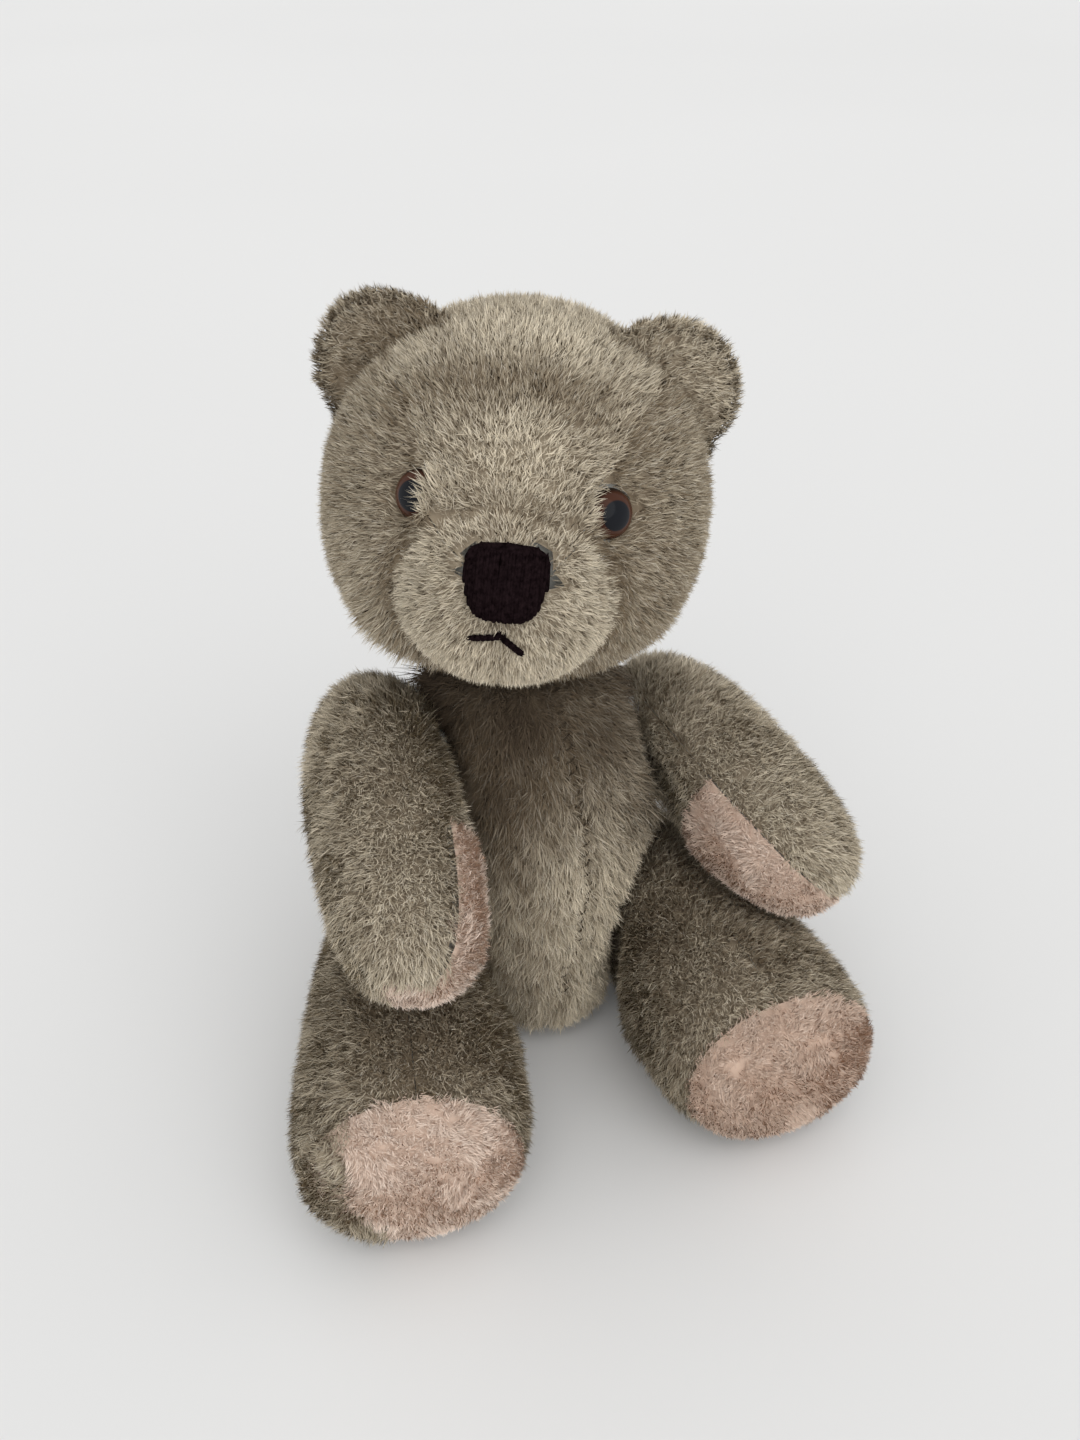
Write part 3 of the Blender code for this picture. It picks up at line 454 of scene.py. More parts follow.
class Wardrobe:
    """Reads the cloth panels of every body, and what lies beside each of them."""

    CLOTH = ("_inner", "_outer", "_pad", "_front", "_back", "_side_left", "_side_right", "_gusset")
    HARDWARE = ("_disc", "_washer")
    LOOKS = 10
    ESCAPES = 3
    STEEP = 0.9
    SHALLOW = 0.35
    FAR = 0.4
    WELD = 1e-6
    OFF_FACE = 2e-5
    BESIDE_JOINT = 1.5 * MM
    SMOOTHING = 5.0 * MM
    SAME_WAY = 0.1
    ROWS = 256

    def __init__(self, nodes: dict[str, bpy.types.Object]) -> None:
        """Reads every node's mesh and sorts the nodes by body."""
        self.meshes = {name: self.read(obj) for name, obj in nodes.items()}
        self.bodies: dict[str, list[str]] = {}
        for name, obj in nodes.items():
            self.bodies.setdefault(body_of(obj)[0], []).append(name)
        self.shells: dict[str, Shell] = {}
        for body in self.bodies:
            self.read_body(body)

    @staticmethod
    def read(obj: bpy.types.Object) -> tuple[Array, Array]:
        """Returns a node's points, made one where they meet, and its triangles."""
        mesh = obj.data
        points = np.empty(len(mesh.vertices) * 3)
        mesh.vertices.foreach_get("co", points)
        mesh.calc_loop_triangles()
        faces = np.empty(len(mesh.loop_triangles) * 3, np.int32)
        mesh.loop_triangles.foreach_get("vertices", faces)
        grid = np.round(points.reshape(-1, 3) / Wardrobe.WELD).astype(np.int64)
        _, first, index = np.unique(grid, axis=0, return_index=True, return_inverse=True)
        return points.reshape(-1, 3)[first], index.reshape(-1)[faces].reshape(-1, 3)

    def is_cloth(self, name: str) -> bool:
        """Tells whether a node is a cloth panel."""
        return name.startswith("torso_") and name != "torso_stuffing" or name.endswith(self.CLOTH)

    def tree(self, names: Sequence[str]) -> BVHTree:
        """Returns a search tree over several nodes."""
        points: list[Array] = []
        faces: list[Array] = []
        count = 0
        for name in names:
            places, triangles = self.meshes[name]
            points.append(places)
            faces.append(triangles + count)
            count += len(places)
        return BVHTree.FromPolygons(np.concatenate(points).tolist(), np.concatenate(faces).tolist())

    def hardware_tree(self) -> BVHTree:
        """Returns a search tree over the joint discs and washers."""
        return self.tree([name for name in self.meshes if name.endswith(self.HARDWARE)])

    def read_body(self, body: str) -> None:
        """Finds the outer faces of a body's panels and gives them smooth normals."""
        whole = self.tree(self.bodies[body])
        hardware = self.hardware_tree()
        panels = [name for name in self.bodies[body] if self.is_cloth(name)]
        kept: dict[str, Array] = {}
        centres: list[Array] = []
        facings: list[Array] = []
        for name in panels:
            points, faces = self.meshes[name]
            middle = points[faces].mean(axis=1)
            facing = face_ways(points, faces) / 2.0
            outer = self.outer(whole, hardware, middle, unit(facing))
            kept[name] = outer
            centres.append(middle[outer])
            facings.append(facing[outer])
        middles = np.concatenate(centres)
        weights = np.concatenate(facings)
        for name in panels:
            points, faces = self.meshes[name]
            used, index = np.unique(faces[kept[name]], return_inverse=True)
            faces = index.reshape(-1, 3)
            own = self.own_normals(points[used], faces)
            normals = self.spread(points[used], own, middles, weights)
            self.shells[name] = Shell(name, points[used], faces, normals)

    def outer(self, whole: BVHTree, hardware: BVHTree, middle: Array, facing: Array) -> Array:
        """Tells which faces look out into open air and aren't beside a joint's hardware."""
        turns = np.linspace(0.0, 2.0 * math.pi, self.LOOKS, endpoint=False)
        result = np.zeros(len(middle), bool)
        for k, (place, normal) in enumerate(zip(middle, facing)):
            n = Vector(normal)
            start = Vector(place) + n * self.OFF_FACE
            side = n.orthogonal().normalized()
            other = n.cross(side)
            found = 0
            for j, turn in enumerate(turns):
                tilt = self.SHALLOW if j % 2 else self.STEEP
                aside = side * math.cos(turn) + other * math.sin(turn)
                way = n * math.cos(tilt) + aside * math.sin(tilt)
                if whole.ray_cast(start, way, self.FAR)[0] is None:
                    found += 1
            clear = hardware.find_nearest(start, self.BESIDE_JOINT)[0] is None
            result[k] = found >= self.ESCAPES and clear
        return result

    @staticmethod
    def own_normals(points: Array, faces: Array) -> Array:
        """Returns each point's normal from its own faces."""
        facing = face_ways(points, faces)
        total = np.zeros_like(points)
        for k in range(3):
            np.add.at(total, faces[:, k], facing)
        return unit(total)

    @staticmethod
    def spread(points: Array, own: Array, middles: Array, weights: Array) -> Array:
        """Smooths the normals over the neighbouring faces of the whole body."""
        reach = Wardrobe.SMOOTHING
        result = np.empty_like(points)
        for k in range(0, len(points), Wardrobe.ROWS):
            rows = slice(k, k + Wardrobe.ROWS)
            gap = points[rows, None, :] - middles[None]
            near = np.exp(-np.sum(gap * gap, axis=2) / (2.0 * reach * reach))
            near = near * ((own[rows] @ unit(weights).T) > Wardrobe.SAME_WAY)
            result[rows] = near @ weights + 1e-10 * own[rows]
        return unit(result)


# Pile


@dataclass(frozen=True)
class PileCut:
    """The make of one pile: its sizes in metres, and how many hairs it has for each square metre."""

    length: float = 5.2 * MM
    depth: float = 3.9 * MM
    lean: float = 34.0
    width: float = 0.27 * MM
    tufts: float = 0.34e6
    hairs: int = 5
    fuzz: int = 12
    spread: float = 1.05 * MM
    gather: float = 0.35
    swing: float = 0.30


@dataclass(frozen=True)
class Spot:
    """A place on the cloth whose tone, pile, or dirt and painted shade differ.

    Where other is over 0 a limb's cloth gives way to its pad, and where it is under 0 the pad to the limb.
    """

    place: Place
    radius: float
    tone: float = 0.0
    grime: float = 0.0
    short: float = 0.0
    other: float = 0.0
    lean: float = 0.0

    def share(self, points: Array) -> Array:
        """Returns how much of the spot each point has."""
        return fade(np.linalg.norm(points - np.array(self.place) * MM, axis=1), self.radius * MM)

    def dab(self, tufts: "Tufts") -> None:
        """Lays the spot on the tufts."""
        share = self.share(tufts.points)
        tufts.tone += self.tone * share
        tufts.grime += self.grime * share
        tufts.length *= 1.0 - self.short * share
        tufts.other += self.other * share
        tufts.lean += math.radians(self.lean) * share


@dataclass
class Tufts:
    """Tufts of pile before their hairs are made, one a row."""

    points: Array
    normals: Array
    flow: Array
    tone: Array
    grime: Array
    length: Array
    lean: Array
    depth: Array
    other: Array

    @classmethod
    def plain(cls, points: Array, normals: Array, cut: PileCut) -> "Tufts":
        """Returns tufts of the pile's own length, lean and depth, with no wear."""
        count = len(points)
        return cls(
            points, normals, np.zeros((count, 3)), np.full(count, 0.4), np.zeros(count),
            np.full(count, cut.length), np.full(count, math.radians(cut.lean)), np.full(count, cut.depth),
            np.zeros(count),
        )

    def pick(self, rows: Array) -> "Tufts":
        """Returns some of the tufts."""
        return Tufts(*(getattr(self, each.name)[rows] for each in fields(self)))


def lay_spots(spots: Sequence[Spot], tufts: Tufts) -> None:
    """Lays several spots on the tufts."""
    for spot in spots:
        spot.dab(tufts)


@dataclass
class MeshParts:
    """Growing lists of points, triangles, normals and two UV layers for one mesh."""

    points: list[Array] = field(default_factory=list)
    triangles: list[Array] = field(default_factory=list)
    pile: list[Array] = field(default_factory=list)
    wear: list[Array] = field(default_factory=list)
    normals: list[Array] = field(default_factory=list)
    count: int = 0

    def add(self, points: Array, triangles: Array, pile: Array, wear: Array, normals: Array) -> None:
        """Adds points with their values and normals, and the triangles that join them, turned to face out."""
        wrong = np.sum(face_ways(points, triangles) * normals[triangles[:, 0]], axis=1) < 0.0
        turned = np.where(wrong[:, None], triangles[:, ::-1], triangles)
        self.points.append(points)
        self.triangles.append(turned + self.count)
        self.pile.append(pile)
        self.wear.append(wear)
        self.normals.append(normals)
        self.count += len(points)

    def build(self, name: str) -> bpy.types.Object:
        """Makes the mesh and its object.

        Args:
            name: The object's name.

        Returns:
            The object, in the scene.
        """
        mesh = bpy.data.meshes.new(name)
        points = np.concatenate(self.points)
        loops = np.concatenate(self.triangles).reshape(-1)
        count = len(loops) // 3
        mesh.vertices.add(len(points))
        mesh.vertices.foreach_set("co", points.astype(np.float32).reshape(-1))
        mesh.loops.add(len(loops))
        mesh.loops.foreach_set("vertex_index", loops.astype(np.int32))
        mesh.polygons.add(count)
        mesh.polygons.foreach_set("loop_start", np.arange(0, 3 * count, 3, dtype=np.int32))
        mesh.polygons.foreach_set("use_smooth", np.ones(count, bool))
        for layer, values in (("pile", self.pile), ("wear", self.wear)):
            made = mesh.uv_layers.new(name=layer)
            made.data.foreach_set("uv", np.concatenate(values)[loops].astype(np.float32).reshape(-1))
        mesh.update(calc_edges=True)
        facing = mesh.attributes.new("custom_normal", "FLOAT_VECTOR", "POINT")
        facing.data.foreach_set("vector", np.concatenate(self.normals).astype(np.float32).reshape(-1))
        return show(name, mesh)


Shade = Callable[[Tufts], None]


class Furrier:
    """Grows pile on the cloth panels."""

    SEAM_REACH = 4.0 * MM
    SEAM_WIDTH = 1.3 * MM
    PRESS_REACH = 5.0 * MM
    SEAM_FLOW = 0.9
    SEAM_SHORTER = 0.22
    SEAM_DARKER = 0.30
    PRESS_SHORTER = 0.38
    PRESS_LEAN = 0.5
    PRESS_DARKER = 0.10
    STEPS = (0.7548776662, 0.5698402910)
    BACKING_CUTS = 3
    BACKING_WELD = 2e-5
    BACKING_ALONG = 0.22
    LIFT = 0.12
    LIFT_BELOW = 0.95
    BELOW_START = 0.15
    HAIR_TURN = 0.34
    FUZZ_TURN = 0.95
    FUZZ_SPREAD = 1.6
    FUZZ_ROOT = 0.8
    FUZZ_WIDTH = 0.55

    def __init__(self, wardrobe: Wardrobe) -> None:
        """Keeps the shapes that the pile grows on."""
        self.wardrobe = wardrobe
        self.others: dict[str, BVHTree] = {}

    def beside(self, body: str) -> BVHTree:
        """Returns a tree of what belongs to the other bodies."""
        if body not in self.others:
            names = [n for b, each in self.wardrobe.bodies.items() if b != body for n in each]
            self.others[body] = self.wardrobe.tree(names)
        return self.others[body]

    def cover(
        self, node: str, body: str, cut: PileCut, finish: PileFinish, shade: Shade, seed: int,
        second: PileFinish | None = None,
    ) -> bpy.types.Object:
        """Makes the dressed panel that stands for a cloth node.

        Args:
            node: The node that it replaces.
            body: The body that it rides on.
            cut: The make of its pile.
            finish: Its colours.
            shade: Sets the tufts' tone, dirt and painted shade, flow, length and lean.
            seed: The number that its scatter starts from.
            second: The colours of the tufts that the spots give to the neighbouring cloth.

        Returns:
            The dressed panel.
        """
        shell = self.wardrobe.shells[node]
        rng = np.random.default_rng(seed)
        parts = MeshParts()
        tufts = self.place_tufts(shell, body, cut, shade, rng)
        foreign = (tufts.other > 0.5) if second else np.zeros(len(tufts.points), bool)
        self.add_backing(parts, shell, cut, shade)
        self.add_pile(parts, tufts.pick(~foreign), cut, rng)
        obj = self.finish_panel(parts, f"{node}_pile", body, finish)
        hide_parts(node)
        if second and foreign.any():
            parts = MeshParts()
            self.add_pile(parts, tufts.pick(foreign), cut, rng)
            self.finish_panel(parts, f"{node}_edge_pile", body, second)
        return obj

    @staticmethod
    def finish_panel(parts: MeshParts, name: str, body: str, finish: PileFinish) -> bpy.types.Object:
        """Makes a panel's object, which rides on its body in this finish."""
        obj = parts.build(name)
        obj.data.materials.append(MATERIALS[finish.name])
        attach(obj, body)
        log.info("%s: %d faces", obj.name, len(obj.data.polygons))
        return obj

    def place_tufts(
        self, shell: Shell, body: str, cut: PileCut, shade: Shade, rng: np.random.Generator
    ) -> Tufts:
        """Scatters tufts evenly over a panel, and combs them."""
        areas = shell.areas()
        total = np.cumsum(areas)
        count = int(total[-1] * cut.tufts)
        steps = (np.arange(count) + rng.random(count)) / count * total[-1]
        face = np.minimum(np.searchsorted(total, steps), len(areas) - 1)
        u, v = ((0.5 + np.arange(count) * step) % 1.0 for step in self.STEPS)
        over = u + v > 1.0
        u[over], v[over] = 1.0 - u[over], 1.0 - v[over]
        points, normals = shell.smooth(face, np.stack([1.0 - u - v, u, v], axis=1))
        return self.comb(shell, body, cut, shade, points, normals)

    def comb(
        self, shell: Shell, body: str, cut: PileCut, shade: Shade, points: Array, normals: Array
    ) -> Tufts:
        """Brushes the pile at these places, parts it at seams, and presses it beside its neighbours,
        darkening both with painted shade.
        """
        tufts = Tufts.plain(points, normals, cut)
        shade(tufts)
        family = [n for n in self.wardrobe.bodies[body] if n != shell.node and self.wardrobe.is_cloth(n)]
        kin, strangers = self.wardrobe.tree(family), self.beside(body)
        for k, place in enumerate(tufts.points):
            spot = Vector(place)
            near, _, _, gap = kin.find_nearest(spot, self.SEAM_REACH)
            if near is not None:
                parting = math.exp(-gap / self.SEAM_WIDTH)
                away = np.array(spot - near)
                tufts.flow[k] += self.SEAM_FLOW * parting * away / max(np.linalg.norm(away), 1e-6)
                tufts.length[k] *= 1.0 - self.SEAM_SHORTER * parting
                # Painted shade in the crease along the seam.
                tufts.tone[k] -= self.SEAM_DARKER * parting
            near, _, _, gap = strangers.find_nearest(spot, self.PRESS_REACH)
            if near is not None:
                press = 1.0 - gap / self.PRESS_REACH
                tufts.length[k] *= 1.0 - self.PRESS_SHORTER * press
                tufts.lean[k] += self.PRESS_LEAN * press
                # Painted shade where the pile is pressed between this body and its neighbours.
                tufts.tone[k] -= self.PRESS_DARKER * press
        tufts.flow = unit(tufts.flow - dot(tufts.flow, tufts.normals) * tufts.normals + 1e-9)
        return tufts

    def add_backing(self, parts: MeshParts, shell: Shell, cut: PileCut, shade: Shade) -> None:
        """Adds the backing cloth under the pile, with each face cut in nine."""
        cuts = self.BACKING_CUTS
        ticks = [(i, j, cuts - i - j) for i in range(cuts + 1) for j in range(cuts + 1 - i)]
        number = {tick: k for k, tick in enumerate(ticks)}
        weights = np.array(ticks) / cuts
        small = []
        for i, j, k in ticks:
            if k > 0:
                small.append((number[i, j, k], number[i + 1, j, k - 1], number[i, j + 1, k - 1]))
            if i > 0 and j > 0:
                small.append((number[i, j, k], number[i - 1, j, k + 1], number[i, j - 1, k + 1]))
        count = len(shell.faces)
        face = np.repeat(np.arange(count), len(ticks))
        points, normals = shell.smooth(face, np.tile(weights, (count, 1)))
        tris = (np.arange(count)[:, None, None] * len(ticks) + np.array(small)[None]).reshape(-1, 3)
        grid = np.round(points / self.BACKING_WELD).astype(np.int64)
        _, first, index = np.unique(grid, axis=0, return_index=True, return_inverse=True)
        points, normals, tris = points[first], normals[first], index.reshape(-1)[tris]
        tufts = Tufts.plain(points, normals, cut)
        shade(tufts)
        pile = side_by_side(clamp(tufts.tone), np.full(len(points), self.BACKING_ALONG))
        wear = side_by_side(clamp(tufts.grime), np.zeros(len(points)))
        sunk = tufts.points - tufts.normals * tufts.depth[:, None]
        parts.add(sunk, tris, pile, wear, tufts.normals)

    @staticmethod
    def bent(tufts: Tufts, each: int, turn: float, rng: np.random.Generator) -> tuple[Array, ...]:
        """Copies the tufts' rows for their hairs, each turned a little on its own.

        Args:
            tufts: The tufts.
            each: Hairs in a tuft.
            turn: The usual turn of a hair from its tuft's flow, in radians.
            rng: The scatter.

        Returns:
            The row numbers, normals, ways to lean, and ways across.
        """
        rows = np.repeat(np.arange(len(tufts.points)), each)
        normals, flow = tufts.normals[rows], tufts.flow[rows]
        way = between(rng.normal(0.0, turn, len(rows))[:, None], flow, np.cross(normals, flow))
        return rows, normals, way, np.cross(way, normals)

    @staticmethod
    def scatter(reach: float, across: Array, way: Array, rng: np.random.Generator) -> Array:
        """Returns how far each hair stands from the middle of its tuft."""
        ring = reach * np.sqrt(rng.random(len(way)))[:, None]
        return ring * between(rng.uniform(0.0, 2.0 * math.pi, len(way))[:, None], across, way)

    @staticmethod
    def add_blades(
        parts: MeshParts, points: Array, corners: Sequence[tuple[int, int, int]], along: Sequence[float],
        tone: Array, grime: Array, light: Array, uneven: float, rng: np.random.Generator,
    ) -> None:
        """Adds hairs as thin blades.

        Args:
            parts: What they are added to.
            points: The corners of each blade.
            corners: The triangles of one blade, as numbers of its corners.
            along: How near each corner is to the tip, from 0 to 1.
            tone: Each blade's tone.
            grime: Each blade's dirt and painted shade.
            light: The way each blade catches the light.
            uneven: How much that way varies.
            rng: The scatter.
        """
        count, each = points.shape[:2]
        pile = side_by_side(np.repeat(tone, each), np.tile(along, count))
        wear = side_by_side(np.repeat(grime, each), np.repeat(rng.random(count), each))
        shine = unit(light + rng.normal(0.0, uneven, (count, 3)))
        triangles = (np.arange(count)[:, None, None] * each + np.array([corners])).reshape(-1, 3)
        parts.add(points.reshape(-1, 3), triangles, pile, wear, np.repeat(shine, each, axis=0))

    def add_pile(self, parts: MeshParts, tufts: Tufts, cut: PileCut, rng: np.random.Generator) -> None:
        """Adds the long hairs and the fuzz between them."""
        self.add_hairs(parts, tufts, cut, rng)
        self.add_fuzz(parts, tufts, cut, rng)

    def lit(self, normals: Array) -> Array:
        """Returns the way the hairs' tips catch the light, turned up where the cloth looks down."""
        up = np.array([0.0, 0.0, 1.0])
        below = clamp(-normals[:, 2:3] + self.BELOW_START)
        return unit(normals + (self.LIFT + self.LIFT_BELOW * below) * up)

    def add_hairs(self, parts: MeshParts, tufts: Tufts, cut: PileCut, rng: np.random.Generator) -> None:
        """Adds the long curved hairs, drawn together at each tuft's tip."""
        swing = rng.normal(0.0, cut.swing, len(tufts.points))[:, None]
        turned = unit(between(swing, tufts.flow, np.cross(tufts.normals, tufts.flow)))
        tufts = replace(tufts, flow=turned)
        tuft_tone = tufts.tone + rng.normal(0.0, 0.12, len(tufts.points))
        tuft_tilt = rng.normal(0.0, 0.26, (len(tufts.points), 3))
        tuft_length = tufts.length * rng.uniform(0.86, 1.14, len(tufts.points))
        rows, n, way, across = self.bent(tufts, cut.hairs, self.HAIR_TURN, rng)
        count = len(rows)
        offset = self.scatter(cut.spread, across, way, rng)
        root = tufts.points[rows] + offset - n * tufts.depth[rows][:, None]
        length = (tuft_length[rows] * rng.uniform(0.82, 1.1, count))[:, None]
        lean = (tufts.lean[rows] + rng.normal(0.0, 0.13, count))[:, None]
        low, high = lean * 0.55, np.minimum(lean * 1.45, 1.72)
        middle = root + 0.5 * length * between(low, n, way) - 0.3 * cut.gather * offset
        tip = middle + 0.5 * length * between(high, n, way) - 0.7 * cut.gather * offset
        flat = between(rng.normal(0.0, 0.5, count)[:, None], across, n) * cut.width / 2.0
        points = np.stack([root, middle - flat, middle + flat, tip], axis=1)
        tone = clamp(tuft_tone[rows] + rng.normal(0.0, 0.12, count))
        grime = clamp(tufts.grime[rows] + rng.normal(0.0, 0.05, count))
        light = self.lit(n) + tuft_tilt[rows]
        corners = ((0, 2, 1), (1, 2, 3))
        self.add_blades(parts, points, corners, (0.0, 0.5, 0.5, 1.0), tone, grime, light, 0.12, rng)

    def add_fuzz(self, parts: MeshParts, tufts: Tufts, cut: PileCut, rng: np.random.Generator) -> None:
        """Adds the short crisp hairs between the long ones."""
        rows, n, way, across = self.bent(tufts, cut.fuzz, self.FUZZ_TURN, rng)
        count = len(rows)
        offset = self.scatter(self.FUZZ_SPREAD * cut.spread, across, way, rng)
        root = tufts.points[rows] + offset - n * (tufts.depth[rows] * self.FUZZ_ROOT)[:, None]
        length = (tufts.length[rows] * rng.uniform(0.45, 0.82, count))[:, None]
        lean = (tufts.lean[rows] + rng.normal(0.0, 0.24, count))[:, None]
        tip = root + length * between(lean, n, way)
        flat = between(rng.normal(0.0, 0.7, count)[:, None], across, n) * cut.width * self.FUZZ_WIDTH
        points = np.stack([root - flat, root + flat, tip], axis=1)
        tone = clamp(tufts.tone[rows] + rng.normal(0.0, 0.17, count))
        grime = clamp(tufts.grime[rows])
        light = self.lit(n)
        self.add_blades(parts, points, ((0, 1, 2),), (0.1, 0.1, 1.0), tone, grime, light, 0.24, rng)


# Threads and eyes


def tube(path: Array, radii: Array, sides: int, up: Array) -> tuple[Array, Array]:
    """Sweeps a round section along a path.

    Args:
        path: The points it follows.
        radii: The radius at each.
        sides: Points in a section.
        up: A way that is nowhere along the path.

    Returns:
        The tube's points and its quads.
    """
    ahead = unit(np.gradient(path, axis=0))
    across = unit(np.cross(ahead, up))
    over = np.cross(across, ahead)
    turns = np.linspace(0.0, 2.0 * math.pi, sides, endpoint=False)
    ring = between(turns[None, :, None], across[:, None], over[:, None])
    points = path[:, None] + ring * radii[:, None, None]
    return points.reshape(-1, 3), ring_quads(len(path), sides)


def smooth_object(name: str, points: Array, faces: list, finish: str) -> bpy.types.Object:
    """Returns a smooth object of these points and faces, in the finish of this name."""
    mesh = bpy.data.meshes.new(name)
    mesh.from_pydata(points.tolist(), [], faces)
    mesh.polygons.foreach_set("use_smooth", [True] * len(mesh.polygons))
    mesh.materials.append(MATERIALS[finish])
    return show(name, mesh)


@dataclass
class ThreadWork:
    """Threads gathered into one mesh."""

    points: list[Array] = field(default_factory=list)
    quads: list[Array] = field(default_factory=list)
    count: int = 0

    def lay(self, path: Array, radius: float, up: Array, sides: int = 6) -> None:
        """Lays one thread that narrows at its two ends."""
        share = np.linspace(0.0, 1.0, len(path))
        radii = radius * np.clip(np.sin(share * math.pi) * 3.0, 0.12, 1.0)
        points, quads = tube(path, radii, sides, up)
        self.points.append(points)
        self.quads.append(quads + self.count)
        self.count += len(points)

    def twist(self, path: Array, radius: float, pitch: float, up: Array) -> None:
        """Lays a thread of three plies round a path."""
        ahead = unit(np.gradient(path, axis=0))
        across = unit(np.cross(ahead, up))
        over = np.cross(across, ahead)
        run = np.concatenate([[0.0], np.cumsum(np.linalg.norm(np.diff(path, axis=0), axis=1))])
        for ply in range(3):
            turn = (run / pitch * 2.0 * math.pi + ply * 2.0 * math.pi / 3.0)[:, None]
            self.lay(path + radius * 0.5 * between(turn, across, over), radius * 0.58, up)

    def build(self, name: str, body: str, finish: ThreadFinish) -> bpy.types.Object:
        """Makes the object, which rides on a body."""
        quads = np.concatenate(self.quads).tolist()
        obj = smooth_object(name, np.concatenate(self.points), quads, finish.name)
        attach(obj, body)
        log.info("%s: %d faces", name, len(obj.data.polygons))
        return obj


@dataclass(frozen=True)
class HeadFrame:
    """The head's own place and turn."""

    turn: float = -20.0
    lean: float = 5.2
    height: float = 47.0 * MM

    def matrix(self) -> Matrix:
        """Returns the matrix from the head's own space to the bear's."""
        place = Matrix.Translation(Vector(joint_place("neck_turn")) + Vector((0.0, 0.0, self.height)))
        turned = Matrix.Rotation(math.radians(self.turn), 4, "Z")
        return place @ turned @ Matrix.Rotation(math.radians(self.lean), 4, "Y")

    def local(self, points: Array) -> Array:
        """Returns points in the head's own space."""
        m = np.array(self.matrix())
        return (points - m[:3, 3]) @ m[:3, :3]

    def world(self, points: Array) -> Array:
        """Returns the head's own points in the bear's space."""
        m = np.array(self.matrix())
        return points @ m[:3, :3].T + m[:3, 3]

    def turned(self, ways: Array) -> Array:
        """Returns the head's own ways as the bear's."""
        return self.world(ways) - self.world(np.zeros((1, 3)))

    def ahead(self) -> Array:
        """Returns the way that the face looks."""
        return self.turned(np.array([[0.0, -1.0, 0.0]]))[0]

    def front(self, tree: BVHTree, side: float, height: float) -> Vector | None:
        """Finds what a look from straight ahead meets.

        Args:
            tree: What may be met.
            side: Place to the bear's left of the middle.
            height: Place over the middle.

        Returns:
            The point, or nothing.
        """
        m = self.matrix()
        start = m @ Vector((side, -0.12, height))
        return tree.ray_cast(start, m.to_3x3() @ Vector((0.0, 1.0, 0.0)), 0.2)[0]


HEAD = HeadFrame()


